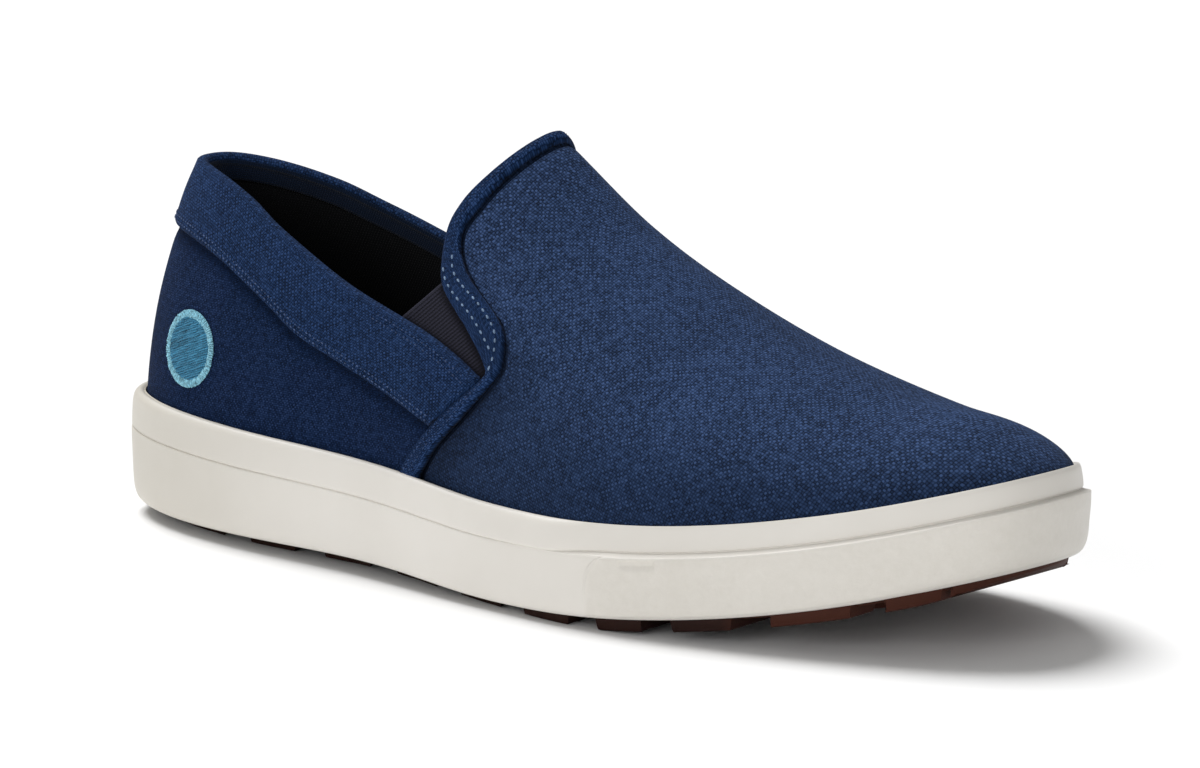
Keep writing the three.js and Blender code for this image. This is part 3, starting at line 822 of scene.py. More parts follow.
class Growth(Nodes):
    """A Geometry Nodes tree with named inputs, each by label, kind and default."""

    def __init__(self, name, inputs):
        self.tree = bpy.data.node_groups.new(name, "GeometryNodeTree")
        super().__init__(self.tree)
        sockets = self.tree.interface
        for label, kind, default in (("Geometry", "Geometry", None), *inputs):
            socket = sockets.new_socket(label, in_out="INPUT", socket_type="NodeSocket" + kind)
            if default is not None:
                socket.default_value = default
        sockets.new_socket("Geometry", in_out="OUTPUT", socket_type="NodeSocketGeometry")
        self.given = self.add("NodeGroupInput").outputs

    def finish(self, geometry):
        """Ends the tree with smooth real meshes in the thread's material."""
        real = self.add("GeometryNodeRealizeInstances", {0: geometry}).outputs[0]
        smooth = self.add("GeometryNodeSetShadeSmooth", {0: real}).outputs[0]
        paint = self.add("GeometryNodeSetMaterial", {
            "Geometry": smooth, "Material": self.given["Thread"]}).outputs[0]
        self.add("NodeGroupOutput", {0: paint})
        return self.tree


def stitch_tree():
    """Short stitches along a run of edges."""
    t = Growth("stitch_rows", (
        ("Pitch", "Float", 0.0019), ("Stitch Length", "Float", 0.0012),
        ("Stitch Width", "Float", 0.0004), ("Shortest", "Float", 0.85), ("Seed", "Int", 3),
        ("Thread", "Material", None)))
    curve = t.add("GeometryNodeMeshToCurve", {0: t.given["Geometry"]}).outputs[0]
    spaced = t.add("GeometryNodeResampleCurve", mode="LENGTH",
                   inputs={"Curve": curve, "Length": t.given["Pitch"]}).outputs[0]
    tangent = t.add("GeometryNodeInputTangent").outputs[0]
    aim = t.add("FunctionNodeAlignRotationToVector", {"Vector": tangent}, axis="X").outputs[0]
    bead = t.add("GeometryNodeMeshIcoSphere", {"Radius": 0.5, "Subdivisions": 2}).outputs["Mesh"]
    vary = t.add("FunctionNodeRandomValue", data_type="FLOAT", inputs={
        2: t.given["Shortest"], 3: 1.12, "Seed": t.given["Seed"]}).outputs[1]
    longer = t.add("ShaderNodeMath", {0: t.given["Stitch Length"], 1: vary},
                   operation="MULTIPLY").outputs[0]
    width = t.given["Stitch Width"]
    size = t.add("ShaderNodeCombineXYZ", {0: longer, 1: width, 2: width}).outputs[0]
    return t.finish(t.add("GeometryNodeInstanceOnPoints", {
        "Points": spaced, "Instance": bead, "Rotation": aim, "Scale": size}).outputs[0])


def strand_tree():
    """Round strands along runs of edges."""
    t = Growth("thread_strands", (
        ("Strand Width", "Float", 0.0004), ("Sides", "Int", 6), ("Thread", "Material", None)))
    curve = t.add("GeometryNodeMeshToCurve", {0: t.given["Geometry"]}).outputs[0]
    half = t.add("ShaderNodeMath", {0: t.given["Strand Width"], 1: 0.5},
                 operation="MULTIPLY").outputs[0]
    ring = t.add("GeometryNodeCurvePrimitiveCircle", mode="RADIUS",
                 inputs={"Radius": half, "Resolution": t.given["Sides"]}).outputs[0]
    return t.finish(t.add("GeometryNodeCurveToMesh", {
        "Curve": curve, "Profile Curve": ring, "Fill Caps": True}).outputs[0])


def grown(name, runs, tree, values):
    """Runs a tree over runs of points, and keeps the result as a plain mesh."""
    points, edges = [], []
    for run in runs:
        start = len(points)
        points.extend(to_row(run).tolist())
        edges.extend((start + i, start + i + 1) for i in range(len(run) - 1))
    path = bpy.data.meshes.new(name + "_path")
    path.from_pydata(points, edges, [])
    carrier = bpy.data.objects.new(name + "_path", path)
    bpy.context.scene.collection.objects.link(carrier)
    modifier = carrier.modifiers.new("rows", "NODES")
    modifier.node_group = tree
    sockets = {item.name: item.identifier for item in tree.interface.items_tree
               if item.in_out == "INPUT"}
    for label, value in values.items():
        modifier[sockets[label]] = value
    bpy.context.view_layer.update()
    evaluated = carrier.evaluated_get(bpy.context.evaluated_depsgraph_get())
    mesh = bpy.data.meshes.new_from_object(evaluated)
    mesh.name = name
    bpy.data.objects.remove(carrier)
    bpy.data.meshes.remove(path)
    return bpy.data.objects.new(name, mesh)


# ---------------------------------------------------------------- settings

def number(name, description, default, low, unit="NONE"):
    return FloatProperty(name=name, description=description, default=default, min=low,
                         unit=unit)


def colour_choice(name, description, code):
    return FloatVectorProperty(name=name, description=description, subtype="COLOR", size=4,
                               default=srgb(code), min=0, max=1)


class SneakerSizes(bpy.types.PropertyGroup):
    """Sizes of the cloth, the sewing and the small forms."""
    weave_pitch: number("Weave pitch", "Distance between the canvas's threads, in mm", 0.74, 0.2)
    weave_relief: number("Weave relief", "Depth of the canvas's weave, in mm", 0.16, 0.0)
    rib_pitch: number("Rib pitch", "Distance between the elastic's ribs, in mm", 1.0, 0.2)
    rib_relief: number("Rib relief", "Half height of the elastic's ribs, in mm", 0.13, 0.0)
    stitch_pitch: number("Stitch pitch", "Distance between stitches", 0.0024, 0.0005, "LENGTH")
    stitch_length: number("Stitch length", "Length of a stitch that shows", 0.0012, 0.0003,
                          "LENGTH")
    stitch_width: number("Stitch width", "Thickness of the thread", 0.0006, 0.0001, "LENGTH")
    badge_width: number("Badge width", "Width of the embroidered badge, in mm", 23.4, 5.0)
    badge_height: number("Badge height", "Height of the embroidered badge, in mm", 20.6, 5.0)
    crease_depth: number("Crease depth", "Scales the soft creases of the upper", 1.0, 0.0)
    lug_bevel: number("Lug bevel", "Bevel round the tread lugs, in mm", 0.8, 0.1)
    seed: IntProperty(name="Seed", default=7,
                      description="Seed of the small differences between stitches")


class SneakerColours(bpy.types.PropertyGroup):
    """Colours of the shoe's finishes."""
    canvas: colour_choice("Canvas", "Vamp canvas", "263858")
    heel_canvas: colour_choice("Heel canvas", "Quarters below the band", "0e203e")
    trim: colour_choice("Trim", "Collar band and throat border", "14294a")
    facing: colour_choice("Facing", "Folded edge inside the collar", "0b1f3a")
    lining: colour_choice("Lining", "Lining and footbed cover", "05070d")
    elastic: colour_choice("Elastic", "Gores", "1c1c26")
    rubber: colour_choice("Cup sole", "Moulded cup sole", "e3dfd8")
    gum: colour_choice("Gum", "Gum tread", "432116")
    pale_thread: colour_choice("Pale thread", "Stitches round the gores", "6f86a3")
    navy_thread: colour_choice("Navy thread", "Stitches on the seams", "2c3f63")
    band_thread: colour_choice("Band thread", "Stitches along the band's lower edge", "3d5074")
    badge_pale: colour_choice("Badge ring", "Embroidered ring", "80b6c8")
    badge_deep: colour_choice("Badge fill", "Embroidered fill", "397897")


def sizes():
    return bpy.context.scene.sneaker_sizes


def chosen(name):
    """A colour from the panel."""
    return tuple(getattr(bpy.context.scene.sneaker_colours, name))


# ---------------------------------------------------------------- the upper's parts

FREE_AT = up_line(FREE_LINE)
VAMP_AT = up_line(VAMP_LINE)
TOP_AT = along_line(TOP_LINE)
BAND_AT = along_line(BAND_LINE)


def under_border(z):
    """x of the line under the border where vamp and quarters meet."""
    return FREE_AT(z) + 0.45 * (VAMP_AT(z) - FREE_AT(z))


def bumps(x, y, places):
    """Soft ridges and troughs: each has its centre, its half lengths along and across,
    its turn in degrees and its height."""
    total = np.zeros(np.shape(x))
    for cx, cy, along, across, turn, height in places:
        c, s = math.cos(math.radians(turn)), math.sin(math.radians(turn))
        u = ((x - cx) * c + (y - cy) * s) / along
        v = ((y - cy) * c - (x - cx) * s) / across
        total = total + height * np.exp(-u * u - v * v)
    return total


def cloth_wave(points, size, seed):
    """Slow uneven swelling of cloth over its stiffener."""
    rng = np.random.default_rng(seed)
    total = np.zeros(points.shape[:-1])
    for _ in range(7):
        direction = rng.normal(size=3)
        direction /= np.linalg.norm(direction)
        turns = points @ direction * (2 * np.pi / rng.uniform(26, 60))
        total += np.sin(turns + rng.uniform(0, 6.28))
    return total * size / 7


# Creases by x and height seen from the side: centre, half lengths, turn, height
VAMP_CREASES_OUTER = (
    (143, 88, 9, 5, -50, -0.40), (160, 74, 16, 7, -58, 0.30), (180, 54, 24, 10, -42, -0.28),
    (214, 42, 22, 9, -24, 0.25),
)
VAMP_CREASES_INNER = (
    (146, 86, 9, 5, -50, -0.35), (176, 56, 20, 9, -44, 0.30), (222, 42, 18, 8, -22, -0.20),
)
QUARTER_CREASES_OUTER = (
    (92, 48, 26, 9, -34, -0.30), (112, 40, 20, 7, -30, 0.25), (62, 54, 9, 17, 10, -0.25),
    (50, 58, 8, 15, 8, 0.22),
)
QUARTER_CREASES_INNER = (
    (96, 46, 24, 9, -34, -0.30), (60, 50, 10, 15, 8, 0.25),
)


def creases(points, girth, outer, inner):
    depth = sizes().crease_depth
    on_outer = bumps(points[..., 0], points[..., 2], outer)
    on_inner = bumps(points[..., 0], points[..., 2], inner)
    return depth * np.where(girth < 0, on_outer, on_inner)


def unrolled(grid):
    """Flat places in mm for a skin whose last column is closed across its middle row, so
    that its weave runs evenly over the curves."""
    rows, cols = grid.shape[:2]
    number_at = np.arange(rows * cols).reshape(rows, cols)
    number_at[rows // 2 + 1:, -1] = number_at[:rows // 2, -1][::-1]
    quads = np.stack([number_at[:-1, :-1], number_at[:-1, 1:], number_at[1:, 1:],
                      number_at[1:, :-1]], -1)
    used, faces = np.unique(quads, return_inverse=True)
    faces = faces.reshape(-1, 4).tolist()
    loose = bpy.data.meshes.new("unrolled")
    loose.from_pydata(grid.reshape(-1, 3)[used].tolist(), [], [
        list(dict.fromkeys(quad)) for quad in faces if len(set(quad)) > 2])
    skin = bpy.data.objects.new("unrolled", loose)
    bpy.context.scene.collection.objects.link(skin)
    bpy.context.view_layer.objects.active = skin
    skin.select_set(True)
    loose.uv_layers.new(name="cloth")
    bpy.ops.object.mode_set(mode="EDIT")
    bpy.ops.mesh.select_all(action="SELECT")
    bpy.ops.uv.unwrap(method="ANGLE_BASED", margin=0.0)
    bpy.ops.object.mode_set(mode="OBJECT")
    corners = np.empty(len(loose.loops), np.int64)
    loose.loops.foreach_get("vertex_index", corners)
    flat = np.empty(2 * len(corners), np.float32)
    loose.uv_layers["cloth"].data.foreach_get("uv", flat)
    places = np.zeros((rows * cols, 2))
    places[used[corners]] = flat.reshape(-1, 2)
    bpy.data.objects.remove(skin)
    bpy.data.meshes.remove(loose)
    places = places[number_at.ravel()].reshape(rows, cols, 2)
    middle = places[rows // 2]
    along = middle[cols // 2] - middle[0]
    real = lengths(grid[rows // 2:rows // 2 + 1], 1)[0, cols // 2]
    along = along / np.dot(along, along) * real
    return np.stack([places @ along, places @ (-along[1], along[0])], -1)


def vamp_grid(girths=141, fine=True):
    """Station and girth of the vamp, from the border's middle to the toe, and the stations
    of the border's vamp edge. A fine grid is close-set beside the border."""
    girth = np.linspace(-1, 1, girths)
    start, edge = station_on(girth, under_border), station_on(girth, VAMP_AT)
    share, columns = np.linspace(0, 1.5, 4), 60
    if fine:
        share = np.concatenate([np.linspace(0, 0.8, 4), np.linspace(0.8, 1.5, 15)[1:]])
        columns = 170
    near = start[:, None] + (edge - start)[:, None] * share
    last = near[:, -1:]
    rest = last + (np.pi - last) * np.linspace(0, 1, columns)[1:]
    station = np.concatenate([near, rest], axis=1)
    return station, np.broadcast_to(girth[:, None], station.shape), edge


def make_vamp():
    station, girth, edge = vamp_grid()
    flat = face(station, girth)
    gap = np.linalg.norm(flat - face(edge, girth[:, 0])[:, None], axis=-1)
    # the channel beside the border, with painted shade in it, and painted shade on the vamp low
    # down next to the border
    ahead = station > edge[:, None]
    beside = np.exp(-((gap - 0.35) / 0.75) ** 2) * (ahead | (gap < 0.6))
    height = flat[..., 2] / INSTEP_HEIGHT
    depth = 0.55 + 0.75 * (smoothstep(height, 0.70, 0.86) + 1 - smoothstep(height, 0.40, 0.52))
    corner = np.exp(-(gap / 9) ** 2) * (1 - smoothstep(height, 0.38, 0.62))
    grow = creases(flat, girth, VAMP_CREASES_OUTER, VAMP_CREASES_INNER)
    grow = grow * smoothstep(gap, 0, 12) + cloth_wave(flat, 0.22, 5) - depth * beside
    # painted shade: the vamp is painted darker towards the lip, where its sides turn away from the
    # light
    low_down = 0.60 + 0.40 * smoothstep(1 - np.abs(girth), 0.02, 0.50)
    shade = (1 - 0.8 * beside) * (1 - 0.45 * corner) * low_down
    outer = face(station, girth, grow)
    inner = face(station, girth, PANEL_INNER + np.minimum(grow, 0))
    parts = MeshParts()
    parts.add_shell(outer, inner, unrolled(flat), shade, last_column=False)
    return parts.build("vamp")


def quarter_strip(columns=110, rows=46):
    return wrap_strip(None, lambda x: TOP_AT(x) - 2.4, under_border, columns, rows)


def make_quarters():
    strip = quarter_strip()
    station, girth = strip[..., 0], strip[..., 1]
    flat = face(station, girth)
    below_band = BAND_AT(flat[..., 0]) - flat[..., 2]
    near_band = np.exp(-(below_band / 2.6) ** 2)
    grow = creases(flat, girth, QUARTER_CREASES_OUTER, QUARTER_CREASES_INNER)
    seam = np.clip((under_border(flat[..., 2]) - flat[..., 0]) / 10, 0, 1)
    grow = np.minimum(grow * seam + cloth_wave(flat, 0.16, 11), np.where(below_band < 1, 0.0, 9))
    heel_seam = np.exp(-(station * BALL * 0.45 / 0.9) ** 2) * (below_band > 0)
    grow = grow - 0.5 * near_band * (below_band > -1)
    # painted shadow under the band's lower edge and painted shade along the heel seam
    shade = 1 - 0.5 * near_band - 0.3 * heel_seam
    outer = face(station, girth, grow - 0.25 * heel_seam)
    inner = face(station, girth, PANEL_INNER + np.minimum(grow, 0))
    along = lengths(flat, 1)
    along = along - along[:, along.shape[1] // 2][:, None]
    parts = MeshParts()
    parts.add_shell(outer, inner, np.stack([along, flat[..., 2]], -1), shade)
    return parts.build("quarters")


def skirt(turn, grow, share):
    """Lower edge of the lining, between the cup's floor (0) and the lip's inside (1)."""
    x, y = outline(turn, grow - LIP_WIDTH - CLEARANCE)
    low, high = cup_floor(x) + 2 * CLEARANCE, lip(x) - LIP_COVER
    return np.stack([x, y, low + (high - low) * share], axis=-1)


def make_lining():
    parts = MeshParts()
    strip = quarter_strip(60, 26)
    turn = np.where(strip[0, :, 1] > 0, 2 * np.pi - strip[0, :, 0], strip[0, :, 0])
    station, girth, _ = vamp_grid(girths=61, fine=False)

    def round_heel(grow):
        low = np.stack([skirt(turn, grow, share) for share in (0, 0.5)])
        return np.concatenate([low, face(strip[..., 0], strip[..., 1], grow)])

    def under_vamp(grow):
        outer_low = np.stack([skirt(station[0], grow, share) for share in (0, 0.5)])
        inner_low = np.stack([skirt(2 * np.pi - station[-1], grow, share)
                              for share in (0.5, 0)])
        return np.concatenate([outer_low, face(station, girth, grow), inner_low])

    for skin, last_column in ((round_heel, True), (under_vamp, False)):
        shown = skin(LINING_FACE)
        cloth = np.stack([lengths(shown, 1), lengths(shown, 0)], -1)
        parts.add_shell(shown, skin(LINING_INNER), cloth, 1.0, last_column)
    return parts.build("lining")


def unit(vectors):
    return vectors / np.maximum(np.linalg.norm(vectors, axis=-1, keepdims=True), 1e-9)


class Fold:
    """A strip of cloth folded over an edge, as rows of points round its section."""

    def __init__(self, count):
        self.count, self.inside = count, 0
        self.rows, self.shade, self.across = [], [], []

    def add(self, points, shade=1.0, across=0.0):
        self.rows.append(points)
        self.shade.append(np.broadcast_to(shade, self.count))
        self.across.append(np.broadcast_to(across, self.count))

    def add_edge(self, at, edge, inwards, levels, roll):
        """The round edge, from the outer face to the inner one, about the middle level and
        square to the line from the bottom level to the top one."""
        middle, top, bottom = levels
        centre = at(edge, middle)
        normal = unit(at(edge, top) - at(edge, bottom))
        rising = unit(centre - at(edge + inwards, middle))
        rising = unit(rising - normal * np.sum(rising * normal, -1, keepdims=True))
        radius = np.broadcast_to(roll, self.count)[:, None]
        for angle in np.linspace(0, np.pi, 11)[1:-1]:
            self.add(centre + radius * (normal * math.cos(angle) + rising * math.sin(angle)),
                     across=roll * (0.3 - angle))
        self.inside = len(self.rows) - 3

    def build(self, name, along):
        """The object; its rows from inside on take the second material."""
        finish = np.zeros(len(self.rows), int)
        finish[self.inside:] = 1
        run = np.broadcast_to(along, (len(self.rows), self.count))
        parts = MeshParts()
        parts.add_loops(np.stack(self.rows), np.stack([run, np.stack(self.across)], -1),
                        np.stack(self.shade), finish)
        return parts.build(name)


def rounded_edge(distance, radius):
    """Rise of a rounded edge, 0 to 1, at a distance in from it."""
    return np.sqrt(1 - (1 - np.clip(distance / radius, 0, 1)) ** 2)


FACING_LEVEL = -2.5
FACING_DEPTH = 5.0
FOLD_REACH = 1.5


def make_band():
    """Collar band: a fold that runs up the outside, rolls over the edge and ends as a
    facing inside."""
    strip = wrap_strip(BAND_AT, TOP_AT, lambda z: FREE_AT(z) - 0.4, 150, 24)
    grid = face(strip[..., 0], strip[..., 1])
    high = lengths(grid, 0)[-1]
    face_out, face_in = CLEARANCE + BAND_THICKNESS, FACING_LEVEL
    roll = (face_out - face_in) / 2
    turn_at = 1 - roll / high

    def at(share, grow):
        place = lookup(strip, np.broadcast_to(share, high.shape))
        return face(place[:, 0], place[:, 1], grow)

    fold = Fold(len(high))
    # painted shade: the band is painted darker where its lower edge rounds under
    for step in np.concatenate([[0, 0.012, 0.03, 0.06], np.linspace(0.1, 1, 16)]):
        share = step * turn_at
        rounded = rounded_edge(share * high, 1.1)
        swell = 0.22 * np.sin(np.pi * step) ** 2
        fold.add(at(share, 0.15 + (face_out - 0.15) * rounded + swell),
                 0.75 + 0.25 * rounded, high * (1 - share))
    fold.add_edge(at, turn_at, -FOLD_REACH / high,
                  ((face_out + face_in) / 2, face_out, face_in), roll)
    # painted shade on the facing next to the fold and on the rows further inside
    for drop in np.linspace(0, FACING_DEPTH, 6):
        fold.add(at(turn_at - drop / high, face_in), 1 - 0.3 * (drop < 0.5), -3 - drop)
    for share, grow in ((turn_at - FACING_DEPTH / high, LINING_INNER - 0.08),
                        (turn_at - 0.4 / high, LINING_INNER - 0.08),
                        (turn_at - 0.2 / high, 0.1), (turn_at * 0.5, 0.1)):
        fold.add(at(share, grow), 0.6)
    return fold.build("collar_band_cover", lengths(grid, 1)[-1])


def make_border():
    """Throat border: a folded strip over the throat and down both side seams."""
    girth = np.linspace(-0.995, 0.995, 321)
    start, end = station_on(girth, FREE_AT), station_on(girth, VAMP_AT)
    throat = smoothstep(face(start, girth)[..., 2] / INSTEP_HEIGHT, 0.66, 0.72)
    wide = np.linalg.norm(face(end, girth) - face(start, girth), axis=-1)
    face_out = CLEARANCE + BORDER_THICKNESS
    roll = 0.55 + 1.25 * throat
    turn_at = roll / wide

    def at(share, grow):
        return face(start + (end - start) * share, girth, grow)

    fold = Fold(len(girth))
    # painted shade where the border rounds down to the vamp, and a painted highlight along the
    # fold beside it
    for step in np.concatenate([[0, 0.02, 0.05, 0.1], np.linspace(0.16, 1, 12)]):
        share = 1 + (turn_at - 1) * step
        from_vamp = (1 - share) * wide
        rounded = rounded_edge(from_vamp, 0.9)
        crown = 0.18 * np.sin(np.pi * step) ** 2
        highlight = np.exp(-((from_vamp - 0.85) / 0.4) ** 2)
        fold.add(at(share, -0.3 + (face_out + 0.3) * rounded + crown),
                 0.6 + 0.4 * rounded + 0.5 * highlight, share * wide)
    middle, face_in = face_out - roll, face_out - 2 * roll
    fold.add_edge(at, turn_at, FOLD_REACH / wide, (middle, face_out, middle), roll)
    # the turning inside, which over the throat comes back up behind the edge
    turned = turn_at + np.minimum(4.5 / wide, 0.42)
    back = turned + (turn_at + 0.4 / wide - turned) * throat
    behind = face_in + 0.12 * throat
    # the turning inside is painted darker: painted shade
    for share, grow in ((turn_at, face_in), ((turn_at + turned) / 2, face_in),
                        (turned, face_in), (turned, behind), (back, behind),
                        (back + 0.02, face_in + (0.12 - face_in) * throat),
                        (np.maximum(back + 0.04, 0.8), 0.12)):
        fold.add(at(share, grow), 0.7)
    line = face((start + end) / 2, girth)
    return fold.build("throat_border_cover", lengths(line[None], 1)[0])


def make_gore(side):
    """Ribbed elastic in the notch, its ribs parallel to its upper edge."""
    corner, tip = (np.array([at * LENGTH, up * INSTEP_HEIGHT])
                   for at, _, up in (GORE_TOP[0], GORE_TOP[-1]))
    rib = (tip - corner) / np.linalg.norm(tip - corner)
    fall = np.array([rib[1], -rib[0]])
    pitch = sizes().rib_pitch
    foot = np.array(NOTCH) * (LENGTH, INSTEP_HEIGHT)
    heights = FREE_LINE[:, 1]
    border_side = FREE_LINE[(heights <= tip[1] + 0.5) & (heights >= foot[1] - 0.5)]
    far = (foot - corner) @ fall
    fell = np.linspace(0.0, far - 0.6, int((far - 0.6) / (pitch / 6)))
    first, second = (
        np.stack([np.interp(fell, (line - corner) @ fall, line[:, i]) for i in (0, 1)], -1)
        for line in (FRONT_LINE, border_side))
    # the cloth runs on a little under both its neighbours
    width = np.linalg.norm(second - first, axis=-1)
    over = np.minimum(1.6, 0.3 + 0.25 * width)
    share = np.linspace(0, 1, 26)
    start = first - rib * over[:, None]
    end = second + rib * over[:, None]
    places = start[:, None] + (end - start)[:, None] * share[None, :, None]
    station, rise = find_from_side(places, side)
    ribs = np.cos(2 * np.pi * fell / pitch)[:, None]
    stretch = 0.25 * np.sin(np.pi * share)[None, :] * (1 - fell / far)[:, None]
    hem = np.where(fell < 1.1, 0.18, 0.0)[:, None]
    raised = GORE_FACE + sizes().rib_relief * ribs - stretch + hem
    outer = face(station, side * (1 - rise), raised)
    inner = face(station, side * (1 - rise), GORE_INNER - stretch)
    across = lengths(places, 1)
    down = np.broadcast_to(fell[:, None], across.shape)
    # painted shadow along both edges, darkest beside the border, and the top hem made lighter
    shade = ((0.45 + 0.55 * smoothstep(across, 1.2, 3.6))
             * (0.15 + 0.85 * smoothstep(across[:, -1:] - across, 1.8, 5.2))
             * (1 + 1.6 * (fell < 0.8)[:, None]))
    parts = MeshParts()
    parts.add_shell(outer, inner, np.stack([across, down], -1), shade)
    return parts.build("gore_lateral_cloth" if side < 0 else "gore_medial_cloth")


# ---------------------------------------------------------------- the sole's parts

# Toe bumper: the shares of LENGTH over which the wall swells and at which its rear edge
# stands, and the radius of its rear corner
BUMPER_RISE = (0.60, 0.67)
BUMPER_START = 0.677
BUMPER_CORNER = 7.5

# Section of the cup sole: level, set back, rise above the level, share of BUMPER_PROUD
# and further rise over the bumper
CUP_SECTION = (
    (lower_edge, POCKET_RIM, POCKET_DEPTH, 0.0, 0.0),
    (lower_edge, POCKET_RIM, 0.0, 0.0, 0.0),
    (lower_edge, 2.10, 0.0, 0.0, 0.0),
    (lower_edge, 1.40, 0.22, 0.0, 0.0),
    (lower_edge, 0.80, 0.85, 0.0, 0.0),
    (lower_edge, 0.38, 2.10, 0.0, 0.0),
    (lower_edge, 0.20, 4.20, 0.0, 0.0),
    (parting, 0.06, -4.00, 0.0, 0.0),
    (parting, 0.02, -1.50, 0.0, 0.0),
    (parting, 0.03, -0.55, 0.0, 0.0),
    (parting, 0.16, -0.20, 0.0, 0.08),
    (parting, 0.42, -0.05, 0.45, 0.40),
    (parting, 0.46, 0.05, 1.0, 0.85),
    (parting, 0.20, 0.35, 1.0, 0.85),
    (parting, 0.12, 0.90, 1.0, 0.60),
    (parting, 0.16, 2.60, 1.0, 0.0),
    (lip, 0.34, -3.60, 1.0, 0.0),
    (lip, 0.62, -1.90, 1.0, 0.0),
    (lip, 1.00, -0.95, 0.93, 0.0),
    (lip, 1.60, -0.32, 0.78, 0.0),
    (lip, 2.20, -0.04, 0.55, 0.0),
    (lip, 2.75, 0.00, 0.35, 0.0),
    (lip, 3.30, -0.22, 0.15, 0.0),
    (lip, 3.75, -0.75, 0.04, 0.0),
    (lip, 3.90, -1.60, 0.0, 0.0),
    (cup_floor, 3.90, 0.0, 0.0, 0.0),
    (cup_floor, 9.0, 0.0, 0.0, 0.0),
)


def turn_at_x(x):
    """Turn along the outer side at x."""
    return np.arccos(np.clip(1 - 2 * x / LENGTH, -1, 1))


SECTION_STEPS = 4


def make_cup():
    corner_x = BUMPER_START * LENGTH
    start, end = turn_at_x(corner_x - 14), turn_at_x(corner_x + 15)
    turn = np.concatenate([np.linspace(0, start, 171)[:-1], np.linspace(start, end, 91)[:-1],
                           np.linspace(end, np.pi, 111)])
    turn = np.concatenate([turn, (2 * np.pi - turn[:-1])[::-1]])
    share = (1 - np.cos(turn)) / 2
    raised = smoothstep(share, *BUMPER_RISE)
    rounder = 1 + 0.95 * smoothstep(np.abs(share - 0.5), 0.34, 0.5)
    key = []
    for level, back, up, bump, ledge in CUP_SECTION:
        corner = rounder if level is lower_edge and back < POCKET_RIM else 1.0
        x, y = outline(turn, -(back * corner + bump * BUMPER_PROUD * raised))
        key.append(np.stack([x, y, level(x) + up * corner + ledge * raised], -1))
    # a finer section by a spline through the rows, apart from the pocket and the floor
    rows = key[:2]
    for i in range(2, len(key) - 3):
        rows += [spline(key[max(i - 1, 2)], key[i], key[i + 1], key[i + 2], t)
                 for t in np.arange(SECTION_STEPS) / SECTION_STEPS]
    grid = np.stack(rows + key[-3:])
    x, z = grid[..., 0], grid[..., 2]
    # the bumper's rounded rear corner: the wall behind it lies a little lower, a small tab
    # is sunk in its side and a bead runs along the corner
    down = parting(x) - z
    corner = np.clip(1 - down / BUMPER_CORNER, 0, 1)
    rear = corner_x - BUMPER_CORNER * np.sqrt(np.clip(1 - corner ** 2, 0, 1))
    behind = 1 - smoothstep(x, rear - 0.5, rear + 0.1)
    depth = 0.55 * behind * (1 - smoothstep(down, 6.0, 15.0)) * smoothstep(down, -0.2, 0.4)
    depth = depth * smoothstep(x, corner_x - 70, corner_x - 12)
    tab = (smoothstep(x, 205.5, 206.3) * (1 - smoothstep(x, 215.5, 216.3))
           * smoothstep(down, 0.5, 0.9) * (1 - smoothstep(down, 2.5, 3.0)))
    bead = (np.exp(-((x - rear - 0.6) / 0.5) ** 2) * smoothstep(down, 0.2, 1.0)
            * (1 - smoothstep(down, 5.0, 11.0)))
    depth = depth + 0.35 * tab - 0.22 * bead
    nx, ny = outwards(turn)
    grid[..., 0] -= depth * nx
    grid[..., 1] -= depth * ny
    on_bumper = (smoothstep(x, rear - 0.5, rear + 1.5) * smoothstep(down, 0.1, 0.8)
                 * (z > lower_edge(x) + 0.8))
    row = np.arange(len(grid))[:, None]
    wall = (row > 5) & (row < len(grid) - 6)
    shade = np.clip(1 - (0.85 * on_bumper + 0.15 * tab) * wall, 0, 1)
    parts = MeshParts()
    cloth = np.stack([np.broadcast_to(turn * 60, x.shape), z], -1)
    index = parts.add_grid(grid, cloth, shade)
    parts.add_cap(index[0])
    parts.add_cap(index[-1])
    return parts.build("cup_sole")


def clip_rectangle(points, low, high):
    """A closed polygon cut to a rectangle."""
    for axis in (0, 1):
        for limit, sign in ((low[axis], 1), (high[axis], -1)):
            kept = []
            for i, here in enumerate(points):
                there = points[(i + 1) % len(points)]
                a, b = sign * (here[axis] - limit), sign * (there[axis] - limit)
                if a >= 0:
                    kept.append(here)
                if a * b < 0:
                    part = a / (a - b)
                    kept.append(tuple(here[k] + part * (there[k] - here[k]) for k in (0, 1)))
            points = kept
            if len(points) < 3:
                return []
    return points


def inset(points, distance):
    """A closed polygon in plan moved inwards, counted counter-clockwise."""
    pts = np.array(points)
    before, after = np.roll(pts, 1, 0), np.roll(pts, -1, 0)
    first, second = unit(pts - before), unit(after - pts)
    n1 = np.stack([-first[:, 1], first[:, 0]], -1)
    n2 = np.stack([-second[:, 1], second[:, 0]], -1)
    middle = unit(n1 + n2)
    widen = np.maximum(np.sum(middle * n1, -1), 0.45)
    return pts + middle * (distance / widen)[:, None]


def spread(points, longest=2.0):
    """The same polygon with points along its long edges and none too close."""
    kept = []
    for i, here in enumerate(points):
        there = points[(i + 1) % len(points)]
        gap = math.dist(here, there)
        steps = max(1, math.ceil(gap / longest)) if gap >= CLOSEST else 0
        kept += [(here[0] + (there[0] - here[0]) * k / steps,
                  here[1] + (there[1] - here[1]) * k / steps) for k in range(steps)]
    return kept


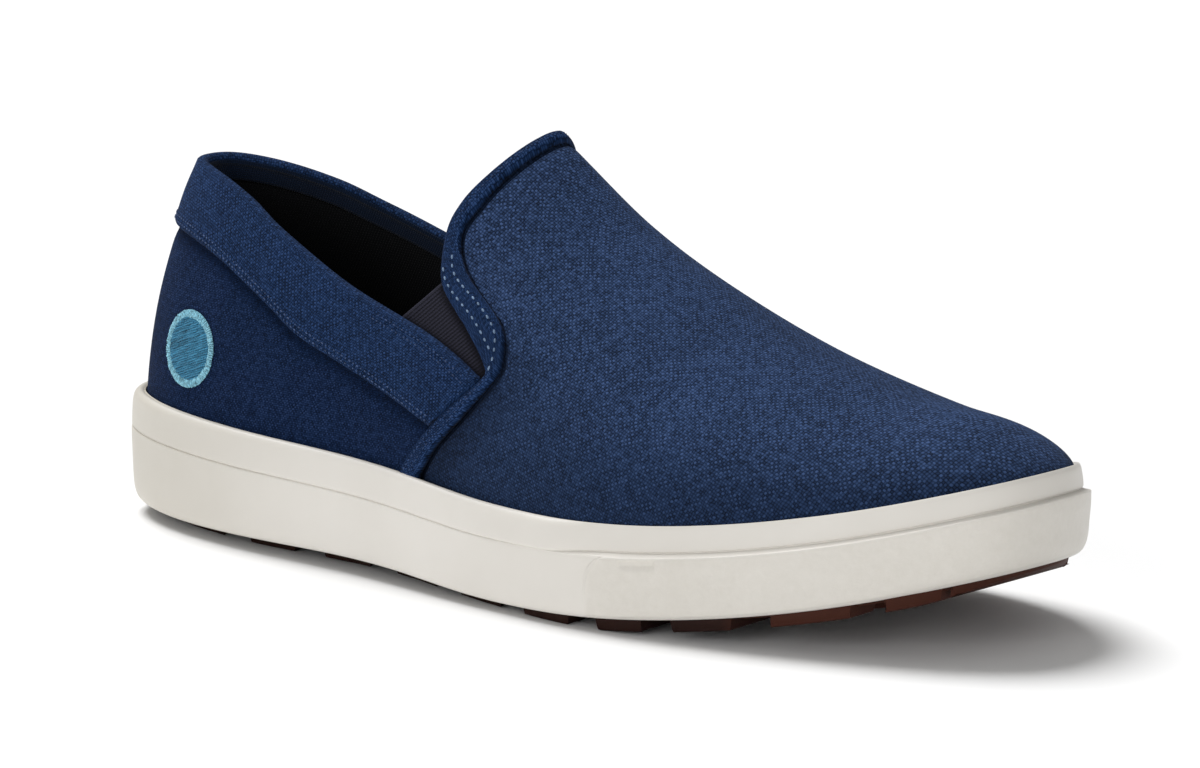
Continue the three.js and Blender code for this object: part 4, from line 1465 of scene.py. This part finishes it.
def make_outsole():
    """Gum plate with bevelled lugs; the middle lane's lugs are cut by a sipe."""
    bevel = sizes().lug_bevel
    turn = np.linspace(0, 2 * np.pi, 480, endpoint=False)
    share = (1 - np.cos(turn)) / 2
    set_in = HEEL_LUG_INSET + (TOE_LUG_INSET - HEEL_LUG_INSET) * smoothstep(share, *LUGS_OUT)
    set_in = set_in + (TIP_LUG_INSET - set_in) * smoothstep(share, *LUGS_IN)
    ex, ey = outline(turn, -set_in)
    sheared = list(zip((ex - ROW_SLANT * np.abs(ey)).tolist(), ey.tolist()))
    work = bmesh.new()

    def ring_at(x, y, z):
        return [work.verts.new(v) for v in to_row(np.column_stack([x, y, z])).tolist()]

    def lug(low, high, bottom, top, edge, draft=0.5):
        polygon = clip_rectangle(sheared, low, high)
        if not polygon:
            return
        if low[1] < 0 < high[1]:
            polygon = spread(polygon, 1.5)
        plan = [(x + ROW_SLANT * abs(y), y) for x, y in spread(polygon)]
        pts = np.array(plan)
        area = np.sum(area_between(pts, np.roll(pts, -1, 0)))
        if abs(area) < 2 * SMALLEST_LUG:
            return
        if area < 0:
            plan = plan[::-1]
        rings = []
        for distance, level, up in ((0.0, top, 0.0), (draft, bottom, edge),
                                    (draft + edge * 0.3, bottom, edge * 0.3),
                                    (draft + edge, bottom, 0.0)):
            x, y = inset(plan, distance).T
            rings.append(ring_at(x, y, level(x) + up))
        for a, b in zip(rings, rings[1:]):
            for i in range(len(a)):
                j = (i + 1) % len(a)
                work.faces.new((a[i], b[i], b[j], a[j]))
        work.faces.new(rings[-1][::-1])
        work.faces.new(rings[0])

    def plate_level(x):
        return lower_edge(x) + 0.4

    def base_level(x):
        return tread_face(x) + 1.3

    def pad_top(x):
        return base_level(x) + 0.2

    def tip_level(x):
        return tread_face(x) + 2.4 * smoothstep(x, 278, 297)

    lane_from = GROOVE_OFFSET * BALL - GROOVE_WIDTH / 2
    lane_to = GROOVE_OFFSET * BALL + GROOVE_WIDTH / 2
    for first, last in TREAD_ROWS:
        x0, x1 = first * LENGTH, last * LENGTH
        if x1 < GROOVES_FROM * LENGTH or x0 > GROOVES_TO * LENGTH:
            lug((x0, -BALL), (x1, BALL), tip_level, plate_level, bevel)
            continue
        lug((x0, -BALL), (x1, -lane_to), tread_face, plate_level, bevel)
        cut = (x0 + x1) / 2
        lug((x0, -lane_from), (x1, lane_from), base_level, plate_level, 0.2, 0.3)
        for start, end in ((x0, cut - SIPE / 2), (cut + SIPE / 2, x1)):
            lug((start, -lane_from), (end, lane_from), tread_face, pad_top, bevel * 0.7, 0.3)
        lug((x0, lane_to), (x1, BALL), tread_face, plate_level, bevel)
    # the plate in the cup's pocket
    x, y = outline(turn, -POCKET_RIM - CLEARANCE)
    lower = ring_at(x, y, lower_edge(x) - 0.25 * LUG_HEIGHT)
    upper = ring_at(x, y, lower_edge(x) + POCKET_DEPTH - CLEARANCE)
    count = len(turn)
    for i in range(count):
        j = (i + 1) % count
        work.faces.new((lower[i], lower[j], upper[j], upper[i]))
    for ring, order in ((lower, -1), (upper, 1)):
        for i in range(count // 2):
            across = (ring[i], ring[i + 1], ring[(count - i - 1) % count],
                      ring[(count - i) % count])
            corners = list(dict.fromkeys(across))
            if len(corners) > 2:
                work.faces.new(corners[::order])
    mesh = bpy.data.meshes.new("gum_tread")
    bmesh.ops.recalc_face_normals(work, faces=work.faces)
    work.to_mesh(mesh)
    work.free()
    shade = mesh.attributes.new("shade", "FLOAT", "POINT")
    shade.data.foreach_set("value", np.full(len(mesh.vertices), 0.6, np.float32))
    mesh.polygons.foreach_set("use_smooth", np.ones(len(mesh.polygons), bool))
    mesh.set_sharp_from_angle(angle=math.radians(28))
    return bpy.data.objects.new("gum_tread", mesh)


# Footbed's raised rim: set in, and height over the footbed's bottom
FOOTBED_RIM = (
    (0.0, 0.0), (0.0, INSOLE_THICKNESS + 0.5), (0.25, INSOLE_THICKNESS + 1.3),
    (0.9, INSOLE_THICKNESS + 1.9), (1.8, INSOLE_THICKNESS + 1.9), (3.0, INSOLE_THICKNESS + 1.3),
    (5.0, INSOLE_THICKNESS + 0.6), (8.0, INSOLE_THICKNESS + 0.2), (11.0, INSOLE_THICKNESS),
)


def make_footbed():
    """Footbed with a raised rim and a slight hollow under the heel and ball."""
    turn = np.linspace(0, 2 * np.pi, 241)
    edge = -LIP_WIDTH - CLEARANCE - UPPER_WALL - 0.5
    rings = []
    for inwards, up in FOOTBED_RIM:
        x, y = outline(turn, edge - inwards)
        rings.append(np.stack([x, y, cup_floor(x) + CLEARANCE + up], -1))
    outer = rings[-1]
    spine_x = 12 + (LENGTH - 34) * (outer[:, 0] - outer[:, 0].min()) / np.ptp(outer[:, 0])
    along = spine_x / LENGTH
    spine_y = 0.02 * BALL * np.sin(np.pi * along) + TOE_SWING * BALL * along ** 4 * 0.8
    spine = np.stack([spine_x, spine_y, cup_floor(spine_x) + CLEARANCE + INSOLE_THICKNESS], -1)
    for share in np.linspace(0, 1, 10)[1:]:
        point = outer * (1 - share) + spine * share
        x = point[:, 0]
        dip = 0.8 * np.exp(-((x - 45) / 32) ** 2) + 0.6 * np.exp(-((x - 200) / 34) ** 2)
        point[:, 2] = cup_floor(x) + CLEARANCE + INSOLE_THICKNESS - dip * share ** 0.5
        rings.append(point)
    grid = np.stack(rings)
    parts = MeshParts()
    index = parts.add_grid(grid, grid[..., :2], 1.0)
    parts.add_cap(index[0])
    return parts.build("footbed", merge=0.02)


# ---------------------------------------------------------------- sewing

def around_heel(shift, grow, x_front):
    """A run from one side's front round the heel to the other, above the band's edge."""
    runs = []
    for side in (1, -1):
        front = station_on(np.array([side * 0.55]), lambda z: x_front + 0 * z)[0]
        station = np.linspace(0, front, 260)
        rise = rise_on(station, side, lambda x: BAND_AT(x) + shift)
        run = face(station, side * (1 - rise), grow)
        runs.append(run[run[:, 0] <= x_front])
    return np.vstack([runs[0][::-1], runs[1][1:]])


EDGE_MARGIN = 1.5


def border_run(side, inwards, low, high, grow):
    """A run along the border between two heights, at distances in from its free edge low
    down and high up as seen from the side, and at least a margin from its other edge."""
    heights = FREE_LINE[:, 1] / INSTEP_HEIGHT
    line = FREE_LINE[(heights >= low) & (heights <= high)]
    steps = np.append(0, np.cumsum(np.linalg.norm(np.diff(line, axis=0), axis=1)))
    even = np.linspace(0, steps[-1], max(2, int(steps[-1] / 0.5)))
    line = np.stack([np.interp(even, steps, line[:, i]) for i in (0, 1)], -1)
    ahead = np.gradient(line, axis=0)
    inside = unit(np.stack([-ahead[:, 1], ahead[:, 0]], -1))
    wide = np.min(np.linalg.norm(line[:, None] - VAMP_LINE[None], axis=-1), axis=1)
    upwards = smoothstep(line[:, 1] / INSTEP_HEIGHT, 0.56, 0.69)
    offset = np.minimum(inwards[0] + (inwards[1] - inwards[0]) * upwards, wide - EDGE_MARGIN)
    for _ in range(6):
        offset[1:-1] = (offset[:-2] + offset[1:-1] + offset[2:]) / 3
    return side_curve(line + inside * offset[:, None], side, grow)


def crest_run(share, low, grow):
    """A run over the crest from one side to the other."""
    girth = np.linspace(-0.9, 0.9, 700)
    start, end = station_on(girth, FREE_AT), station_on(girth, VAMP_AT)
    points = face(start + (end - start) * share, girth, grow)
    return points[points[:, 2] / INSTEP_HEIGHT >= low]


def pale_runs():
    top = CLEARANCE + BORDER_THICKNESS + 0.12
    return [border_run(side, inwards, low, high, top) for side in (-1, 1)
            for inwards, low, high in (((3.0, 1.4), 0.532, 0.695), ((6.2, 4.1), 0.505, 0.714))]


def seam_runs():
    """Rows on the side seams, over the crest and at the band's front."""
    border_top = CLEARANCE + BORDER_THICKNESS + 0.06
    band_top = CLEARANCE + BAND_THICKNESS + 0.16
    runs = [crest_run(0.58, 0.80, border_top)]
    for side in (-1, 1):
        for inwards in ((1.2, 1.2), (3.0, 3.0)):
            runs.append(border_run(side, inwards, 0.26, 0.485, border_top))
        for drop, first in ((2.6, 0.372), (4.1, 0.366)):
            xs = np.arange(first * LENGTH, 0.488 * LENGTH, 0.7)
            zs = TOP_AT(xs) - drop
            keep = xs < FREE_AT(zs) - 1.5
            runs.append(side_curve(np.stack([xs[keep], zs[keep]], -1), side, band_top))
    return runs


def band_runs():
    """Two close rows along the band's lower edge."""
    grow = CLEARANCE + BAND_THICKNESS + 0.14
    return [around_heel(shift, grow, 0.455 * LENGTH) for shift in (1.2, 2.5)]


BADGE_AT = (36.7, -27.7, 49.6)
BADGE_LEAN = 24
BADGE_RIM = 1.9
SATIN_STITCH = 5.2


class BadgePlace:
    """The badge's centre on the outer heel, and the directions along and up it."""

    def __init__(self):
        station, rise = find(np.array([BADGE_AT]), SIDE_VIEW, -1)
        self.centre = face(station, rise - 1)[0]
        self.along = unit(face(station + 1e-3, rise - 1)[0] - self.centre)
        up = unit(face(station, rise - 1 + 1e-3)[0] - self.centre)
        self.up = unit(np.cross(unit(np.cross(self.along, up)), self.along))
        self.start = (float(station[0]), float(rise[0]))

    def lay(self, a, b, grow):
        """Points along (a) and up (b) from the centre, laid on the face."""
        points = self.centre + a[..., None] * self.along + b[..., None] * self.up
        station, rise = find(points, (self.along, self.up), -1, self.start)
        return face(station, rise - 1, grow)


def badge_disc_runs():
    """Slanted satin threads across the badge's disc."""
    rng = np.random.default_rng(sizes().seed)
    place = BadgePlace()
    half_w, half_h = sizes().badge_width / 2 - BADGE_RIM, sizes().badge_height / 2 - BADGE_RIM
    reach = half_w + half_h
    lean = math.radians(BADGE_LEAN)
    t = np.linspace(-half_w - half_h, reach, 600)
    arch = np.sin(np.pi * np.linspace(0, 1, 7))
    runs = []
    for offset in np.arange(-half_w - half_h, reach, 0.62):
        a = t * math.cos(lean) - offset * math.sin(lean)
        b = t * math.sin(lean) + offset * math.cos(lean)
        inside = (a / half_w) ** 2 + (b / half_h) ** 2 < 1
        if inside.sum() < 12:
            continue
        a, b, row = a[inside], b[inside], t[inside]
        first = row[0] + rng.uniform(2.0, 5.0)
        cuts = [row[0], *np.arange(first, row[-1] - 1.2, SATIN_STITCH), row[-1]]
        for low, high in zip(cuts, cuts[1:]):
            s = np.linspace(low, high, 7)
            lift = 0.24 + 0.16 * arch + rng.uniform(-0.09, 0.09)
            runs.append(place.lay(np.interp(s, row, a), np.interp(s, row, b), lift))
    return runs


def badge_ring_runs():
    """Short satin threads laid across the badge's rim."""
    rng = np.random.default_rng(sizes().seed + 1)
    place = BadgePlace()
    half_w, half_h = sizes().badge_width / 2, sizes().badge_height / 2
    around = 2 * math.pi * (half_w + half_h) / 2
    arch = np.sin(np.pi * np.linspace(0, 1, 6)) ** 0.8
    runs = []
    for angle in np.linspace(0, 2 * np.pi, int(around / 0.66), endpoint=False):
        s = np.linspace(0, 2.0 + rng.uniform(-0.12, 0.12), 6)
        lift = 0.30 + 0.40 * arch + rng.uniform(-0.13, 0.13)
        runs.append(place.lay((half_w - s) * math.cos(angle), (half_h - s) * math.sin(angle),
                              lift))
    return runs


# ---------------------------------------------------------------- operators

class SNEAKER_OT_cup_sole(bpy.types.Operator):
    """Moulded cup sole with its parting line and toe bumper"""
    bl_idname = "sneaker.cup_sole"
    bl_label = "Cup sole"

    def execute(self, context):
        # the last numbers paint shade on the wall towards the heel end, from 100 mm down to 12 mm
        # from the heel
        material = moulded("white_rubber", chosen("rubber"), srgb("c9c4b9"), 0.42, 0.10, 0.5,
                           (-50.0, -138.0, 0.8))
        add_piece(make_cup(), ["cupsole"], [material])
        return {"FINISHED"}


class SNEAKER_OT_tread(bpy.types.Operator):
    """Gum tread with bevelled lugs"""
    bl_idname = "sneaker.tread"
    bl_label = "Tread"

    def execute(self, context):
        # the last numbers paint shade on the lugs behind 232 to 240 mm from the heel
        material = moulded("gum_rubber", chosen("gum"), srgb("1e0e0a"), 0.6, 0.12, 0.35,
                           (90.0, 82.0, 0.7), specular=0.15, coat=0.0)
        add_piece(make_outsole(), ["outsole"], [material])
        return {"FINISHED"}


class SNEAKER_OT_footbed(bpy.types.Operator):
    """Cloth-covered foam footbed"""
    bl_idname = "sneaker.footbed"
    bl_label = "Footbed"

    def execute(self, context):
        material = knitted("footbed_cover", chosen("lining"), 0.9, 0.12)
        piece = add_piece(make_footbed(), ["insole"], [material])
        return {"FINISHED"}


class SNEAKER_OT_upper(bpy.types.Operator):
    """Vamp, quarters and lining"""
    bl_idname = "sneaker.upper"
    bl_label = "Upper"

    def execute(self, context):
        pitch, relief = sizes().weave_pitch, sizes().weave_relief
        vamp = woven("vamp_canvas", chosen("canvas"), pitch, relief)
        heel = woven("heel_canvas", chosen("heel_canvas"), pitch * 0.8, relief * 0.6,
                     contrast=1.1, check=0.4, slub=0.3, speck=0.8, mottle=0.3, sheen=0.01,
                     specular=0.05)
        lining = knitted("lining_cloth", chosen("lining"), 0.8, 0.1)
        add_piece(make_vamp(), ["upper"], [vamp])
        add_piece(make_quarters(), ["upper"], [heel])
        add_piece(make_lining(), ["upper"], [lining])
        return {"FINISHED"}


class SNEAKER_OT_trim(bpy.types.Operator):
    """Collar band and throat border"""
    bl_idname = "sneaker.trim"
    bl_label = "Collar band and border"

    def execute(self, context):
        pitch, relief = sizes().weave_pitch, sizes().weave_relief
        band = woven("band_canvas", chosen("trim"), pitch, relief)
        border = woven("border_canvas", chosen("trim"), pitch * 0.9, relief * 0.8)
        facing = knitted("facing_cloth", chosen("facing"), 0.7, 0.1)
        add_piece(make_band(), ["collar_band"], [band, facing])
        add_piece(make_border(), ["throat_border"], [border, facing])
        return {"FINISHED"}


class SNEAKER_OT_gores(bpy.types.Operator):
    """Ribbed elastic gores"""
    bl_idname = "sneaker.gores"
    bl_label = "Gores"

    def execute(self, context):
        material = ribbed("ribbed_elastic", chosen("elastic"), sizes().rib_pitch)
        add_piece(make_gore(-1), ["gore_lateral"], [material])
        add_piece(make_gore(1), ["gore_medial"], [material])
        return {"FINISHED"}


class SNEAKER_OT_stitching(bpy.types.Operator):
    """Rows of stitches round the gores, on the band and along the seams"""
    bl_idname = "sneaker.stitching"
    bl_label = "Stitching"

    def execute(self, context):
        size, tree = sizes(), stitch_tree()
        wide = {"Pitch": size.stitch_pitch, "Stitch Length": size.stitch_length,
                "Stitch Width": size.stitch_width, "Shortest": 0.85, "Seed": size.seed}
        close = {**wide, "Pitch": size.stitch_pitch * 0.7,
                 "Stitch Length": size.stitch_length * 0.85,
                 "Stitch Width": size.stitch_width * 0.7, "Shortest": 0.4}
        for name, runs, values, material in (
                ("gore_stitches", pale_runs, wide,
                 thread("pale_thread", chosen("pale_thread"))),
                ("seam_stitches", seam_runs, close,
                 thread("navy_thread", chosen("navy_thread"), 0.45)),
                ("band_stitches", band_runs, close,
                 thread("band_thread", chosen("band_thread"), 0.5))):
            add_piece(grown(name, runs(), tree, {**values, "Thread": material}))
        return {"FINISHED"}


class SNEAKER_OT_badge(bpy.types.Operator):
    """Plain round embroidered badge on the outer heel"""
    bl_idname = "sneaker.badge"
    bl_label = "Badge"

    def execute(self, context):
        tree = strand_tree()
        deep = thread("badge_thread", chosen("badge_deep"), 0.6, lean=BADGE_LEAN)
        pale = thread("badge_rim_thread", chosen("badge_pale"), 0.55, batches=1.3)
        for name, runs, width, material in (
                ("badge_disc", badge_disc_runs, 0.00064, deep),
                ("badge_rim", badge_ring_runs, 0.00062, pale)):
            values = {"Strand Width": width, "Sides": 6, "Thread": material}
            add_piece(grown(name, runs(), tree, values))
        return {"FINISHED"}


# The camera's azimuth, elevation and roll in degrees, what it looks at and from how far,
# and its focal length in pixels of the image
VIEW_ANGLES = (39.48, 10.80, 0.29)
VIEW_TARGET = (0.0067, 0.00014, 0.0510)
VIEW_DISTANCE = 1.774
FOCAL_PIXELS = 6816
IMAGE_WIDTH = 1200
SENSOR_WIDTH = 36
FLOOR_REACH = 30
WORLD_STRENGTH = 0.20

# name, strength, angle in degrees, direction towards the light
LIGHTS = (
    ("overhead", 3.05, 32, (-0.56, 0.16, 1.0)),
    ("front", 0.95, 40, (0.05, -1.0, 0.28)),
    ("toe fill", 0.62, 60, (1.0, -0.25, 0.08)),
)


def add_floor(scene):
    r = FLOOR_REACH
    mesh = bpy.data.meshes.new("floor")
    mesh.from_pydata([(-r, -r, 0), (r, -r, 0), (r, r, 0), (-r, r, 0)], [], [(0, 1, 2, 3)])
    floor = bpy.data.objects.new("floor", mesh)
    scene.collection.objects.link(floor)
    s = Shader("floor_white")
    grain = s.ranged(s.noise(s.places(1), 40.0, 3.0), 0.3, 0.7, 0, 0.05)
    colour = s.mix(grain, (0.93, 0.93, 0.93, 1), (0.9, 0.9, 0.9, 1))
    mesh.materials.append(s.finish(colour, 0.9, specular_ior_level=0.1))


def add_lights(scene):
    scene.world = bpy.data.worlds.new("studio")
    scene.world.use_nodes = True
    sky = scene.world.node_tree.nodes["Background"].inputs
    sky["Color"].default_value = (1, 1, 1, 1)
    sky["Strength"].default_value = WORLD_STRENGTH
    for name, strength, angle, direction in LIGHTS:
        light = bpy.data.lights.new(name, "SUN")
        light.energy = strength
        light.angle = math.radians(angle)
        lamp = bpy.data.objects.new(name, light)
        lamp.rotation_euler = Vector(direction).to_track_quat("Z", "Y").to_euler()
        scene.collection.objects.link(lamp)


def add_camera(scene):
    data = bpy.data.cameras.new("camera")
    data.sensor_width = SENSOR_WIDTH
    data.lens = FOCAL_PIXELS / IMAGE_WIDTH * SENSOR_WIDTH
    data.clip_end = 100
    camera = bpy.data.objects.new("camera", data)
    azimuth, elevation, roll = (math.radians(a) for a in VIEW_ANGLES)
    back = Vector((math.sin(azimuth) * math.cos(elevation),
                   -math.cos(azimuth) * math.cos(elevation), math.sin(elevation)))
    right = Vector((math.cos(azimuth), math.sin(azimuth), 0))
    up = back.cross(right)
    right, up = (math.cos(roll) * right + math.sin(roll) * up,
                 math.cos(roll) * up - math.sin(roll) * right)
    place = Matrix.Translation(Vector(VIEW_TARGET) + VIEW_DISTANCE * back)
    camera.matrix_world = place @ Matrix((right, up, back)).transposed().to_4x4()
    scene.collection.objects.link(camera)
    scene.camera = camera


class SNEAKER_OT_stage(bpy.types.Operator):
    """Pale floor, soft studio light and the camera"""
    bl_idname = "sneaker.stage"
    bl_label = "Stage"

    def execute(self, context):
        add_floor(context.scene)
        add_lights(context.scene)
        add_camera(context.scene)
        context.scene.view_settings.view_transform = "Standard"
        return {"FINISHED"}


class SNEAKER_PT_panel(bpy.types.Panel):
    """Sizes, colours and pieces of the sneaker"""
    bl_idname = "SNEAKER_PT_panel"
    bl_label = "Slip-on sneaker"
    bl_space_type = "VIEW_3D"
    bl_region_type = "UI"
    bl_category = "Sneaker"

    def draw(self, context):
        for group in (context.scene.sneaker_sizes, context.scene.sneaker_colours):
            box = self.layout.box()
            for name in group.bl_rna.properties.keys():
                if name not in ("rna_type", "name"):
                    box.prop(group, name)
        for operator in OPERATORS:
            self.layout.operator(operator.bl_idname)


OPERATORS = (
    SNEAKER_OT_stage, SNEAKER_OT_tread, SNEAKER_OT_cup_sole, SNEAKER_OT_footbed, SNEAKER_OT_upper,
    SNEAKER_OT_gores, SNEAKER_OT_trim, SNEAKER_OT_stitching, SNEAKER_OT_badge,
)
CLASSES = (SneakerSizes, SneakerColours, *OPERATORS, SNEAKER_PT_panel)


def register():
    for cls in CLASSES:
        bpy.utils.register_class(cls)
    bpy.types.Scene.sneaker_sizes = PointerProperty(type=SneakerSizes)
    bpy.types.Scene.sneaker_colours = PointerProperty(type=SneakerColours)


def unregister():
    del bpy.types.Scene.sneaker_colours
    del bpy.types.Scene.sneaker_sizes
    for cls in reversed(CLASSES):
        bpy.utils.unregister_class(cls)


def main():
    register()
    for operator in OPERATORS:
        group, name = operator.bl_idname.split(".")
        getattr(getattr(bpy.ops, group), name)()


if __name__ == "__main__":
    main()
